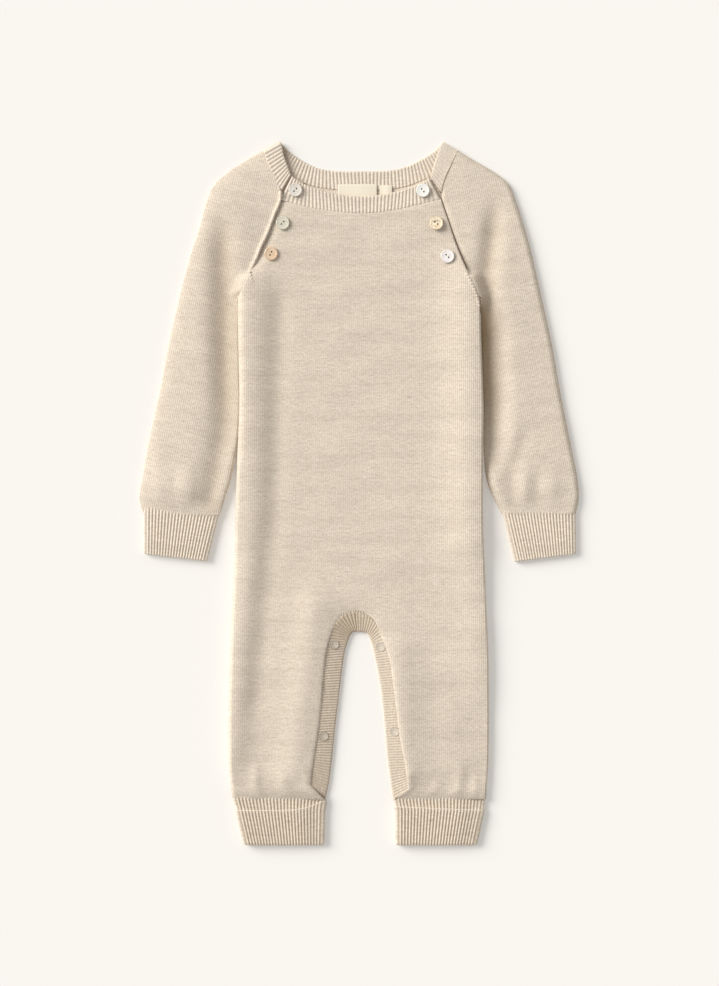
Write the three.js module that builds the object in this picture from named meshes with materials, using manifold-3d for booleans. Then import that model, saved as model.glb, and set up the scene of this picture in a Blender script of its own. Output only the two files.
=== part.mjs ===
// Baby romper in fine knitted wool, with raglan sleeves, buttoned plackets and turned-up leg cuffs,
// laid flat on its back.
//
// Millimetres, +Z up. The front of the romper faces +Z and its neck points to +Y. The origin is on the
// floor under the middle of the romper. Right and left are the wearer's: the left sleeve and leg lie on
// the +X side.

import * as THREE from 'three';
import { mergeVertices } from 'three/addons/utils/BufferGeometryUtils.js';
import Module from 'manifold-3d';

// Cloth
const CLOTH = 1.2; // wall of the plain knitted panels
const RIB_CLOTH = 1.3; // wall of the ribbed bands and cuffs, under their ribs
const RIB_RISE = 0.45; // a rib above the groove beside it
const SEAM_GAP = 0.3; // between two pieces that are sewn together

// Heights above the floor
const FRONT_TOP = 6.0; // outer face of the front panel where no fold lifts it
const SLEEVE_TOP = 6.0; // outer face of a sleeve where no fold lifts it
const SIDE_SEAM = 2.3; // lower edge of the front panel along the side seams
const BACK_CURL = 0.5; // lift of the back panel's underside at the side seams
const PLACKET_EDGE = 4.9; // edge of the front panel along the raglan plackets
const STAND_MIDDLE = 2.75; // middle of the button stands' cloth
const BAND_BOTTOM = RIB_CLOTH / 2; // middle of a band that lies on the floor
const BAND_TOP = 5.1; // middle of a band on the upper side
const BAND_NOSE = 0.9; // length of the rounding at a neckband's free edge
const LABEL_BOTTOM = 2.15;

// Rounding of the front panel at a side seam: how far in and how high, as shares of the roll
const ROLL_RADIUS = 4;
const PLACKET_ROLL = 2.2;
const ROLL = [
  { inset: 0, lift: 0 },
  { inset: 0.22, lift: 0.62 },
  { inset: 1, lift: 1 },
];

// Side seams of the body, from the underarm to the hem
const SIDES = [
  { y: 171.0, right: -106.9, left: 106.2 },
  { y: 143.0, right: -106.9, left: 106.9 },
  { y: 115.0, right: -106.4, left: 107.8 },
  { y: 75.0, right: -106.0, left: 109.2 },
  { y: 30.0, right: -107.8, left: 108.7 },
  { y: -28.0, right: -109.6, left: 108.8 },
  { y: -65.0, right: -110.5, left: 110.3 },
  { y: -109.0, right: -112.6, left: 112.2 },
  { y: -145.0, right: -114.2, left: 113.6 },
  { y: -205.0, right: -115.7, left: 114.0 },
  { y: -245.0, right: -115.0, left: 113.1 },
  { y: -268.0, right: -112.0, left: 111.2 },
];
const BODY_ROWS = [171, 145, 118, 88, 56, 24, -8, -40, -68, -90];
const YOKE_MIDDLE = 0.48; // share of the yoke's width at which its two halves join

// Raglan edges of the front panel with the ends of its neckband, from the neck to the underarm
const RAGLAN = {
  right: [
    { x: -59.8, y: 280.2 },
    { x: -64.9, y: 269.5 },
    { x: -70.2, y: 258.3 },
    { x: -76.1, y: 242.9 },
    { x: -81.4, y: 228.4 },
    { x: -87.2, y: 216.0 },
    { x: -91.4, y: 205.5 },
    { x: -96.0, y: 194.8 },
    { x: -106.9, y: 171.0 },
  ],
  left: [
    { x: 61.8, y: 278.6 },
    { x: 67.0, y: 270.4 },
    { x: 71.8, y: 258.6 },
    { x: 75.0, y: 248.4 },
    { x: 78.6, y: 238.2 },
    { x: 82.6, y: 226.2 },
    { x: 88.4, y: 210.8 },
    { x: 95.9, y: 193.6 },
    { x: 106.2, y: 171.0 },
  ],
};

// Raglan seams of the back panel, from its neck to the underarm
const BACK_RAGLAN = {
  right: [
    { x: -65.4, y: 279.4 },
    { x: -73.5, y: 258.0 },
    { x: -81.4, y: 233.0 },
    { x: -89.5, y: 211.0 },
    { x: -96.0, y: 194.8 },
    { x: -106.9, y: 171.0 },
  ],
  left: [
    { x: 67.1, y: 280.3 },
    { x: 74.5, y: 259.0 },
    { x: 82.3, y: 233.0 },
    { x: 89.5, y: 210.0 },
    { x: 95.9, y: 193.6 },
    { x: 106.2, y: 171.0 },
  ],
};

// Front neckband from the right placket to the left one: free edge (ex, ey), sewn edge (sx, sy)
const NECKBAND_FRONT = [
  { ex: -59.3, ey: 279.0, sx: -69.7, sy: 258.6 },
  { ex: -54.0, ey: 275.2, sx: -59.5, sy: 255.8 },
  { ex: -46.5, ey: 271.0, sx: -47.5, sy: 252.6 },
  { ex: -36.0, ey: 267.2, sx: -35.0, sy: 250.1 },
  { ex: -21.6, ey: 263.6, sx: -20.5, sy: 248.2 },
  { ex: -6.6, ey: 261.5, sx: -6.0, sy: 247.0 },
  { ex: 9.2, ey: 261.7, sx: 9.0, sy: 247.0 },
  { ex: 25.1, ey: 263.6, sx: 24.0, sy: 248.6 },
  { ex: 37.4, ey: 266.8, sx: 36.0, sy: 250.8 },
  { ex: 48.8, ey: 270.6, sx: 49.0, sy: 253.6 },
  { ex: 57.0, ey: 274.4, sx: 61.0, sy: 256.6 },
  { ex: 61.2, ey: 277.6, sx: 71.2, sy: 258.8 },
];

// Back neckband: over the right sleeve head, along the back neck and over the left sleeve head
const NECKBAND_OVER_SLEEVE = {
  right: [
    { ex: -60.6, ey: 281.2, sx: -69.0, sy: 266.4 },
    { ex: -63.4, ey: 288.4, sx: -74.4, sy: 278.2 },
    { ex: -66.6, ey: 297.6, sx: -79.6, sy: 289.4 },
    { ex: -68.4, ey: 307.3, sx: -83.2, sy: 299.0 },
  ],
  left: [
    { ex: 62.9, ey: 279.8, sx: 71.6, sy: 268.4 },
    { ex: 65.2, ey: 287.8, sx: 75.8, sy: 278.4 },
    { ex: 68.3, ey: 297.4, sx: 80.9, sy: 289.2 },
    { ex: 71.9, ey: 307.2, sx: 85.2, sy: 299.2 },
  ],
};
const NECKBAND_BACK = [
  { ex: -68.4, ey: 307.3, sx: -83.2, sy: 299.0 },
  { ex: -63.0, ey: 302.0, sx: -75.5, sy: 289.5 },
  { ex: -56.0, ey: 296.6, sx: -65.5, sy: 280.5 },
  { ex: -45.3, ey: 290.2, sx: -50.5, sy: 274.2 },
  { ex: -36.0, ey: 286.3, sx: -37.4, sy: 270.2 },
  { ex: -22.0, ey: 284.0, sx: -20.7, sy: 268.0 },
  { ex: -2.0, ey: 283.6, sx: -1.0, sy: 267.4 },
  { ex: 18.0, ey: 283.9, sx: 17.5, sy: 267.6 },
  { ex: 30.0, ey: 285.0, sx: 31.0, sy: 268.6 },
  { ex: 41.0, ey: 287.8, sx: 42.5, sy: 271.2 },
  { ex: 50.0, ey: 292.0, sx: 54.0, sy: 275.3 },
  { ex: 59.4, ey: 297.2, sx: 67.4, sy: 281.5 },
  { ex: 66.6, ey: 302.2, sx: 77.0, sy: 290.0 },
  { ex: 71.9, ey: 307.2, sx: 85.2, sy: 299.2 },
];
const NECK_RIB_PITCH = 3.2;

// Bands of the inner-leg opening, from their join over the crotch down to the cuff. A row is a section:
// free edge (ex, ey), sewn edge (sx, sy), and the height y at which the panel's row meets the side seam
const LEG_BANDS = {
  right: [
    { ex: -2.2, ey: -122.2, sx: -4.1, sy: -105.0, side: -105 },
    { ex: -5.2, ey: -122.5, sx: -14.2, sy: -108.2, side: -112 },
    { ex: -7.6, ey: -124.4, sx: -21.0, sy: -116.2, side: -120 },
    { ex: -9.8, ey: -129.6, sx: -26.0, sy: -127.6, side: -130 },
    { ex: -12.8, ey: -139.0, sx: -29.4, sy: -140.0, side: -142 },
    { ex: -15.4, ey: -156.0, sx: -31.3, sy: -157.0, side: -158 },
    { ex: -18.2, ey: -180.0, sx: -33.2, sy: -180.0, side: -180 },
    { ex: -21.4, ey: -206.0, sx: -35.8, sy: -206.5, side: -206 },
    { ex: -23.6, ey: -228.0, sx: -39.2, sy: -227.5, side: -228 },
    { ex: -26.8, ey: -254.0, sx: -42.2, sy: -248.0, side: -248 },
    { ex: -29.6, ey: -267.6, sx: -42.8, sy: -257.0, side: -258 },
  ],
  left: [
    { ex: -1.6, ey: -122.2, sx: -3.5, sy: -105.0, side: -105 },
    { ex: 3.2, ey: -122.2, sx: 5.0, sy: -107.0, side: -110 },
    { ex: 6.6, ey: -123.4, sx: 11.0, sy: -111.2, side: -118 },
    { ex: 9.4, ey: -128.4, sx: 16.8, sy: -121.0, side: -128 },
    { ex: 11.6, ey: -135.6, sx: 22.0, sy: -133.0, side: -138 },
    { ex: 14.6, ey: -148.6, sx: 26.6, sy: -147.0, side: -150 },
    { ex: 18.0, ey: -168.0, sx: 29.6, sy: -167.0, side: -168 },
    { ex: 20.8, ey: -190.0, sx: 32.4, sy: -189.0, side: -190 },
    { ex: 23.0, ey: -214.0, sx: 35.4, sy: -213.0, side: -214 },
    { ex: 25.4, ey: -240.0, sx: 40.4, sy: -239.0, side: -240 },
    { ex: 29.4, ey: -268.4, sx: 42.9, sy: -260.0, side: -260 },
  ],
};
const HEM_CORNERS = {
  right: { x: -30.2, y: -268.4, side: -267.2 },
  left: { x: 30.2, y: -268.5, side: -267.8 },
};
const CROTCH_X = -3.8; // centre line of the body, where the two leg bands join
const CLOSE_SECTIONS = 4; // sections of a leg band that curve over the crotch
const LEG_RIB_PITCH = 2.3;
const LEG_BACK_PITCH = 16; // steps along the plain bands that lie on the floor
const LEG_BAND_HEIGHTS = {
  right: { free: 2.7, sewn: 4.1 },
  left: { free: 2.9, sewn: 4.5 },
};

// Outer fold of each sleeve, from the neckband to the cuff
const SLEEVE_OUTER = {
  right: [
    { x: -85.2, y: 301.5 },
    { x: -99.6, y: 293.2 },
    { x: -115.7, y: 282.5 },
    { x: -127.2, y: 272.4 },
    { x: -134.9, y: 256.1 },
    { x: -140.4, y: 235.0 },
    { x: -147.4, y: 213.8 },
    { x: -158.8, y: 171.6 },
    { x: -168.5, y: 127.6 },
    { x: -175.6, y: 90.6 },
    { x: -185.9, y: 43.1 },
    { x: -191.4, y: 11.4 },
    { x: -194.0, y: -4.4 },
    { x: -191.0, y: -16.6 },
  ],
  left: [
    { x: 87.2, y: 301.4 },
    { x: 101.0, y: 293.0 },
    { x: 118.4, y: 282.8 },
    { x: 131.6, y: 271.9 },
    { x: 138.2, y: 256.1 },
    { x: 145.0, y: 235.0 },
    { x: 151.0, y: 213.8 },
    { x: 160.6, y: 171.6 },
    { x: 170.2, y: 127.6 },
    { x: 176.6, y: 90.6 },
    { x: 186.1, y: 43.1 },
    { x: 192.2, y: 11.4 },
    { x: 193.4, y: -4.4 },
    { x: 191.2, y: -16.6 },
  ],
};
// Inner fold of each sleeve below the place where it leaves the body
const SLEEVE_LEAVES_BODY = 34;
const SLEEVE_INNER = {
  right: [
    { x: -112.6, y: 14.0 },
    { x: -117.6, y: -2.0 },
    { x: -122.8, y: -18.4 },
  ],
  left: [
    { x: 112.4, y: 10.0 },
    { x: 118.0, y: -4.0 },
    { x: 124.6, y: -16.2 },
  ],
};
const SLEEVE_BODY_GAP = 0.5; // from a sleeve's fold to the body's side seam beside it
const SLEEVE_GAP = 0.5; // from a sleeve to the neckband
const PLACKET_GAP = { right: 0.5, left: 1.2 }; // from a sleeve to the front panel's raglan edge
const NECK_CORNER = { right: { x: -69.0, y: 264.6 }, left: { x: 72.0, y: 266.4 } };
const UNDERARM_SHARE = 0.374; // share of a sleeve's length above the underarm
const YOKE_ROWS = 10; // rows of a sleeve above the underarm
const ARM_ROWS = 9; // rows below it

// Sleeve cuffs: the corners of the tube's inside, at the seam and at the free edge
const SLEEVE_CUFFS = {
  right: {
    outer: [{ x: -187.4, y: -17.3 }, { x: -187.4, y: -53.4 }],
    inner: [{ x: -126.5, y: -19.0 }, { x: -136.6, y: -59.2 }],
  },
  left: {
    outer: [{ x: 187.5, y: -17.2 }, { x: 188.1, y: -53.4 }],
    inner: [{ x: 128.7, y: -16.8 }, { x: 138.8, y: -59.8 }],
  },
};
const SLEEVE_RIBS = 21; // ribs across the upper side of a sleeve cuff
const SLEEVE_CUFF_INSIDE = 4.0; // upper side of the tube's inside
const CUFF_COLUMNS_BELOW = 4; // steps across the plain underside of a cuff

// Leg cuffs: inside of the tube at the seam, at the turned-up edge and at the bottom fold
const LEG_CUFFS = {
  right: [
    { down: 0, outer: -108.6, inner: -32.3 },
    { down: 10, outer: -105.8, inner: -33.9 },
    { down: 41, outer: -98.5, inner: -34.7 },
  ],
  left: [
    { down: 0, outer: 107.9, inner: 32.7 },
    { down: 10, outer: 106.6, inner: 34.9 },
    { down: 41, outer: 99.9, inner: 35.0 },
  ],
};
const LEG_CUFF_START = -268.9;
const LEG_CUFF_RIBS = 25;
const LEG_CUFF_INSIDE = 4.5; // upper side of the tube's inside
const LEG_CUFF_EDGE = { right: { rise: 6.4, from: 0.6 }, left: { rise: 1.6, from: 0 } };
const TURN_UP_AT = 0.24; // turned-up edge, as a share of the cuff's length
const TURNED_CLOTH = 2.8; // both layers of a turned-up cuff
// Section of a cuff: share of its length down from the seam, distance out from the tube's inside, how
// much of a rib's rise it has and whether it belongs to the turned-up edge
const TURNED_UP = [
  { down: 0, out: 0, rib: 0 },
  { down: TURN_UP_AT, out: 0, rib: 0 },
  { down: 0.975, out: 0, rib: 0 },
  { down: 0.992, out: 1.5, rib: 0.5 },
  { down: 0.968, out: TURNED_CLOTH, rib: 1 },
  { down: TURN_UP_AT, out: TURNED_CLOTH, rib: 1, edge: true },
  { down: TURN_UP_AT, out: RIB_CLOTH, rib: 0.6, edge: true },
  { down: 0, out: RIB_CLOTH, rib: 1 },
];
const PLAIN_CUFF = [
  { down: 0, out: 0, rib: 0 },
  { down: 1, out: 0, rib: 0 },
  { down: 1, out: RIB_CLOTH, rib: 1 },
  { down: 0, out: RIB_CLOTH, rib: 1 },
];

// Soft folds: a straight crest or trough from (x0, y0) to (x1, y1), its half width and its rise
const FRONT_FOLDS = [
  { x0: -97.5, y0: 190, x1: -101.5, y1: -262, width: 9, rise: 1.9 },
  { x0: 94.0, y0: 190, x1: 96.0, y1: -110, width: 10, rise: 2.1 },
  { x0: 98.0, y0: -90, x1: 98.0, y1: -262, width: 10, rise: 1.1 },
  { x0: -34.0, y0: -84, x1: -51.0, y1: -264, width: 10, rise: 1.6 },
  { x0: 33.0, y0: -126, x1: 48.0, y1: -262, width: 9, rise: 1.3 },
  { x0: 66.0, y0: -130, x1: 69.0, y1: -264, width: 10, rise: -0.7 },
];
const SLEEVE_FOLDS = {
  right: [
    { x0: -126.0, y0: 236, x1: -121.0, y1: 36, width: 6.5, rise: -2.3 },
    { x0: -137.0, y0: 236, x1: -152.0, y1: 30, width: 12, rise: 0.9 },
  ],
  left: [
    { x0: 112.0, y0: 214, x1: 112.5, y1: 34, width: 9, rise: -3.2 },
    { x0: 144.0, y0: 230, x1: 143.0, y1: 20, width: 14, rise: 0.9 },
    { x0: 148.0, y0: 60, x1: 129.0, y1: 4, width: 5, rise: -0.9 },
  ],
};
const FOLD_FADE = 34; // length over which a fold dies away at either end

// Rounding of a sleeve at its folds: distance in from the fold and share of the height
const TUBE_FOLD = [
  { inset: 0, lift: 0.45 },
  { inset: 0.9, lift: 0.82 },
  { inset: 3.4, lift: 1 },
];
const TUBE_FOLD_BELOW = 2.2; // how far in from a fold the sleeve's lower layer meets the floor

// Buttons and snaps
const BUTTON_DIAMETER = 12;
const BUTTON_SPOTS = {
  right: [{ x: -56.4, y: 266.4 }, { x: -67.5, y: 237.4 }, { x: -77.8, y: 210.5 }],
  left: [{ x: 55.7, y: 266.0 }, { x: 67.6, y: 237.2 }, { x: 77.3, y: 208.1 }],
};
const BUTTON_SECTION = [
  { radius: 0, height: 0 },
  { radius: 0.86, height: 0 },
  { radius: 1, height: 1.0 },
  { radius: 0.84, height: 2.1 },
  { radius: 0.62, height: 1.5 },
  { radius: 0, height: 1.5 },
];
const BUTTON_SIDES = 16;
const BUTTON_HOLE_RADIUS = 0.85;
const BUTTON_HOLE_SPACING = 3.2;
const BUTTON_HOLE_DEPTH = 6; // of the drill that makes it, through the whole button
const BUTTON_HOLE_SIDES = 8;
const BUTTON_HOLE_TURN = { right: 0.8, left: -0.8 };
const SNAP_DIAMETER = 8.4;
const SNAP_SIDES = 10;
// Places of the snaps: shares along a leg band and across it, from its free edge
const SNAP_PLACES = {
  right: [{ along: 0.345, across: 0.68 }, { along: 0.735, across: 0.65 }],
  left: [{ along: 0.41, across: 0.6 }, { along: 0.785, across: 0.66 }],
};
const SNAP_TILT = 0.095; // the bands slope down to their free edges
const SNAP_SECTION = [
  { radius: 0, height: 0 },
  { radius: 1, height: 0 },
  { radius: 1, height: 0.5 },
  { radius: 0.82, height: 0.9 },
  { radius: 0.5, height: 0.55 },
  { radius: 0, height: 0.55 },
];

// Button stands: how far they reach under the front panel and under the sleeve, and where along the
// raglan edge they end
const STAND_REACH = 12;
const STAND_UNDER_SLEEVE = 1.6;
const STAND_ENDS = { top: 0.01, bottom: 0.8 };

// Labels inside the back neck
const LABEL_THICKNESS = 0.6;
const LABELS = {
  neck_label: { x: -1.8, top: 271.9, width: 34.4, height: 19 },
  size_label: { x: 23.3, top: 271.0, width: 10.6, height: 15 },
};

const UP = new THREE.Vector3(0, 0, 1);
const SIDE_NAMES = ['right', 'left'];
const OUTWARD = { right: -1, left: 1 };

// Lines

function lineThrough(rows, xName = 'x', yName = 'y') {
  const points = rows.map((row) => new THREE.Vector3(row[xName], row[yName], 0));
  return new THREE.CatmullRomCurve3(points, false, 'centripetal');
}

// A line beside another one, moved by a distance to the left of its direction
function lineBeside(curve, distance, steps = 24) {
  const points = [];
  for (let k = 0; k <= steps; k += 1) {
    const along = curve.getTangentAt(k / steps);
    const aside = new THREE.Vector3(-along.y, along.x, 0).multiplyScalar(distance);
    points.push(curve.getPointAt(k / steps).add(aside));
  }
  return new THREE.CatmullRomCurve3(points, false, 'centripetal');
}

function valueAt(rows, key, value, name) {
  const rising = rows[1][key] > rows[0][key];
  const last = rows.length - 1;
  const k = rows.findIndex((row) => (rising ? row[key] >= value : row[key] <= value));
  const high = k < 0 ? last : Math.max(k, 1);
  const a = rows[high - 1];
  const b = rows[high];
  return THREE.MathUtils.mapLinear(value, a[key], b[key], a[name], b[name]);
}

const sideSeam = (y, side) => valueAt(SIDES, 'y', y, side);

// Rise of all folds at a point: each is a bell across its line that dies away at both ends
function foldRise(folds, x, y) {
  let total = 0;
  for (const { x0, y0, x1, y1, width, rise } of folds) {
    const length = Math.hypot(x1 - x0, y1 - y0);
    const along = ((x - x0) * (x1 - x0) + (y - y0) * (y1 - y0)) / length;
    const across = ((x - x0) * (y1 - y0) - (y - y0) * (x1 - x0)) / length;
    const starts = THREE.MathUtils.smoothstep(along, -FOLD_FADE / 2, FOLD_FADE / 2);
    const ends = THREE.MathUtils.smoothstep(length - along, -FOLD_FADE / 2, FOLD_FADE / 2);
    total += rise * starts * ends * Math.exp(-0.5 * (across / width) ** 2);
  }
  return total;
}

const frontTop = (x, y) => FRONT_TOP + foldRise(FRONT_FOLDS, x, y);

// Surfaces and walls

function newSurface() {
  return { points: [], relief: [], faces: [], index: new Map() };
}

// Adds a point once: the one that another grid put within a fifth of a micrometre is used again
function addPoint(surface, point, relief) {
  const key = point.toArray().map((value) => Math.round(value * 5000)).join();
  if (!surface.index.has(key)) {
    surface.index.set(key, surface.points.length);
    surface.points.push(point.clone());
    surface.relief.push(relief);
  }
  return surface.index.get(key);
}

function addFace(surface, a, b, c) {
  if (a !== b && b !== c && c !== a) surface.faces.push([a, b, c]);
}

// Adds a grid of points. Its faces point up where columns run to +X and rows to -Y, or down if flipped
function addGrid(surface, grid, { flip = false, relief = () => 0 } = {}) {
  const ids = grid.map((row, r) => row.map((point, c) => addPoint(surface, point, relief(r, c))));
  for (let r = 0; r < ids.length - 1; r += 1) {
    for (let c = 0; c < ids[r].length - 1; c += 1) {
      const corners = [ids[r][c], ids[r + 1][c], ids[r + 1][c + 1], ids[r][c + 1]];
      if (flip) corners.reverse();
      addFace(surface, corners[0], corners[1], corners[2]);
      addFace(surface, corners[0], corners[2], corners[3]);
    }
  }
}

function surfaceNormals(surface) {
  const normals = surface.points.map(() => new THREE.Vector3());
  for (const face of surface.faces) {
    const [a, b, c] = face.map((id) => surface.points[id]);
    const normal = b.clone().sub(a).cross(c.clone().sub(a));
    face.forEach((id) => normals[id].add(normal));
  }
  return normals.map((normal) => normal.normalize());
}

function geometryOf(points, faces) {
  const corners = faces.flat().map((id) => points[id]);
  const geometry = new THREE.BufferGeometry().setFromPoints(corners);
  geometry.computeVertexNormals();
  return geometry;
}

// Cloth under a surface: the surface itself with its relief, an inner face below it and the edges
function wall(surface, thickness) {
  const normals = surfaceNormals(surface);
  const count = surface.points.length;
  const outer = surface.points.map((p, k) => p.clone().addScaledVector(normals[k], surface.relief[k]));
  const inner = surface.points.map((p, k) => p.clone().addScaledVector(normals[k], -thickness));
  const faces = surface.faces.flatMap(([a, b, c]) => [[a, b, c], [count + a, count + c, count + b]]);
  const edges = new Set(surface.faces.flatMap(([a, b, c]) => [`${a},${b}`, `${b},${c}`, `${c},${a}`]));
  for (const edge of edges) {
    const [a, b] = edge.split(',').map(Number);
    if (edges.has(`${b},${a}`)) continue;
    faces.push([b, a, count + a], [b, count + a, count + b]);
  }
  return geometryOf([...outer, ...inner], faces);
}

// Closed solid from rings of points. The last ring joins the first one, or both ends are capped
function solidOfRings(rings, { joined = false } = {}) {
  const size = rings[0].length;
  const faces = [];
  const last = joined ? rings.length : rings.length - 1;
  for (let r = 0; r < last; r += 1) {
    const next = (r + 1) % rings.length;
    for (let c = 0; c < size; c += 1) {
      const d = (c + 1) % size;
      const [p, q, s, t] = [r * size + c, next * size + c, next * size + d, r * size + d];
      faces.push([p, q, s], [p, s, t]);
    }
  }
  if (!joined) {
    const end = (rings.length - 1) * size;
    for (let c = 1; c < size - 1; c += 1) {
      faces.push([0, c, c + 1], [end, end + c + 1, end + c]);
    }
  }
  const points = rings.flat();
  let volume = 0;
  for (const [a, b, c] of faces) volume += points[a].dot(points[b].clone().cross(points[c]));
  return geometryOf(points, volume < 0 ? faces.map(([a, b, c]) => [a, c, b]) : faces);
}

// Front and back panels

// The sewn end of a band's section, moved on by a gap
function beyondSeam({ ex, ey, sx, sy }, gap) {
  const length = Math.hypot(sx - ex, sy - ey);
  return { x: sx + ((sx - ex) * gap) / length, y: sy + ((sy - ey) * gap) / length };
}

// A panel's edge along a leg band, with the heights at which its rows meet the side seam. Rows lie
// twice as close over the crotch
function besideLegBand(side) {
  const bandRows = LEG_BANDS[side];
  const free = lineThrough(bandRows, 'ex', 'ey');
  const sewn = lineThrough(bandRows, 'sx', 'sy');
  const last = bandRows.length - 1;
  const places = [{ x: CROTCH_X, y: bandRows[0].sy + SEAM_GAP, sideY: bandRows[0].side }];
  for (let index = 0.5; index <= last; index += index < CLOSE_SECTIONS ? 0.5 : 1) {
    const [e, s] = [free.getPoint(index / last), sewn.getPoint(index / last)];
    const before = bandRows[Math.floor(index)];
    const after = bandRows[Math.ceil(index)];
    const place = beyondSeam({ ex: e.x, ey: e.y, sx: s.x, sy: s.y }, SEAM_GAP);
    places.push({ ...place, sideY: THREE.MathUtils.lerp(before.side, after.side, index % 1) });
  }
  return places;
}

// One row of a panel's half, from the side seam (start) to the middle or the inner leg (end)
function halfRow(start, end, steps, radius) {
  const width = start.distanceTo(end);
  const rolled = ROLL.map(({ inset, lift }) => ({ share: (inset * radius) / width, lift }));
  const first = rolled[rolled.length - 1].share;
  const row = [...rolled];
  for (let k = 1; k <= steps; k += 1) {
    row.push({ share: first + ((1 - first) * k) / steps, lift: 1 });
  }
  return row.map(({ share, lift }) => ({ at: start.clone().lerp(end, share), share, lift }));
}

// Rows of one half of a panel: the yoke between the raglan edges, the body and the leg.
// neck is the top edge from the right raglan edge to the left one
function panelRows({ side, raglan, neck, yokeRows, steps }) {
  const { right, left } = raglan;
  const own = side === 'right' ? 0 : 1;
  const rows = [];
  for (let k = yokeRows; k > 0; k -= 1) {
    const up = k / yokeRows;
    const ends = [right.getPointAt(1 - up), left.getPointAt(1 - up)];
    const sagAt = (s) => {
      const chord = neck.getPointAt(0).lerp(neck.getPointAt(1), s);
      return neck.getPointAt(s).sub(chord).multiplyScalar(up ** 2);
    };
    const pointAt = (s) => ends[0].clone().lerp(ends[1], s).add(sagAt(s));
    const row = halfRow(pointAt(own), pointAt(YOKE_MIDDLE), steps, PLACKET_ROLL);
    row.forEach((place) => place.at.copy(pointAt(THREE.MathUtils.lerp(own, YOKE_MIDDLE, place.share))));
    rows.push({ places: row, edge: PLACKET_EDGE });
  }
  for (const y of BODY_ROWS) {
    const start = new THREE.Vector3(sideSeam(y, side), y, 0);
    const end = new THREE.Vector3(CROTCH_X, y, 0);
    rows.push({ places: halfRow(start, end, steps, ROLL_RADIUS), edge: SIDE_SEAM });
  }
  for (const { x, y, sideY } of besideLegBand(side)) {
    const start = new THREE.Vector3(sideSeam(sideY, side), sideY, 0);
    const end = new THREE.Vector3(x, y, 0);
    rows.push({ places: halfRow(start, end, steps, ROLL_RADIUS), edge: SIDE_SEAM });
  }
  const corner = HEM_CORNERS[side];
  const start = new THREE.Vector3(sideSeam(corner.side, side), corner.side, 0);
  const end = new THREE.Vector3(corner.x, corner.y, 0);
  rows.push({ places: halfRow(start, end, steps, ROLL_RADIUS), edge: SIDE_SEAM });
  return rows;
}

function frontPanel() {
  const seam = lineThrough(NECKBAND_FRONT, 'sx', 'sy');
  const neck = lineBeside(seam, -SEAM_GAP);
  const raglan = {};
  for (const side of SIDE_NAMES) raglan[side] = lineThrough(RAGLAN[side].slice(2));
  const surface = newSurface();
  for (const side of SIDE_NAMES) {
    const rows = panelRows({ side, raglan, neck, yokeRows: 7, steps: 8 });
    const grid = rows.map(({ places, edge }) => places.map(({ at, lift }) => {
      const height = THREE.MathUtils.lerp(edge, frontTop(at.x, at.y), lift);
      return new THREE.Vector3(at.x, at.y, height);
    }));
    addGrid(surface, grid, { flip: side === 'left' });
  }
  return wall(surface, CLOTH);
}

function backPanel() {
  const seam = lineThrough(NECKBAND_BACK.slice(2, -2), 'sx', 'sy');
  const neck = lineBeside(seam, -SEAM_GAP);
  const raglan = {
    right: lineBeside(lineThrough(BACK_RAGLAN.right), SEAM_GAP),
    left: lineBeside(lineThrough(BACK_RAGLAN.left), -SEAM_GAP),
  };
  const surface = newSurface();
  for (const side of SIDE_NAMES) {
    const rows = panelRows({ side, raglan, neck, yokeRows: 5, steps: 4 });
    const grid = rows.map(({ places, edge }) => places.map(({ at, lift }) => {
      const curl = edge === SIDE_SEAM ? BACK_CURL : 0;
      return new THREE.Vector3(at.x, at.y, curl * (1 - lift) ** 2);
    }));
    addGrid(surface, grid, { flip: side === 'right' });
  }
  return wall(surface, CLOTH);
}

// Sleeves

// Patch between four lines: top and bottom run from the outer to the inner line
function patchBetween(top, bottom, outer, inner) {
  return (u, v) => {
    const across = top(u).multiplyScalar(1 - v).addScaledVector(bottom(u), v);
    const along = outer(v).multiplyScalar(1 - u).addScaledVector(inner(v), u);
    const corners = top(0).multiplyScalar((1 - u) * (1 - v))
      .addScaledVector(top(1), u * (1 - v))
      .addScaledVector(bottom(0), (1 - u) * v)
      .addScaledVector(bottom(1), u * v);
    return across.add(along).sub(corners);
  };
}

// Inner fold of a sleeve: beside the body's side seam, then free of it down to the cuff
function sleeveInnerLine(side) {
  const beside = (y, gap) => ({ x: sideSeam(y, side) + OUTWARD[side] * gap, y });
  const rows = SIDES.filter((row) => row.y > SLEEVE_LEAVES_BODY).map((row) => beside(row.y, SLEEVE_BODY_GAP));
  return lineThrough([...rows, beside(SLEEVE_LEAVES_BODY, SLEEVE_BODY_GAP * 2), ...SLEEVE_INNER[side]]);
}

// Columns across one layer of a sleeve, from the outer fold (u = 0) to the inner one (u = 1). lift is
// the share of the height, folded at the inner side only where the two layers are one cloth
function frontColumns(width, folded) {
  const rounding = TUBE_FOLD.map(({ inset, lift }) => ({ u: inset / width, lift }));
  const first = rounding[rounding.length - 1].u;
  const columns = [...rounding];
  for (let k = 1; k < 7; k += 1) columns.push({ u: THREE.MathUtils.lerp(first, 1 - first, k / 7), lift: 1 });
  const inner = rounding.map(({ u, lift }) => ({ u: 1 - u, lift: folded ? lift : 1 }));
  return [...columns, ...inner.reverse()];
}

function backColumns(width, folded) {
  const low = TUBE_FOLD_BELOW / width;
  const lifts = [TUBE_FOLD[0].lift, 0, 0, 0, 0, 0, folded ? TUBE_FOLD[0].lift : 0];
  return [0, low, 0.25, 0.5, 0.75, 1 - low, 1].map((u, k) => ({ u, lift: lifts[k] }));
}

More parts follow.
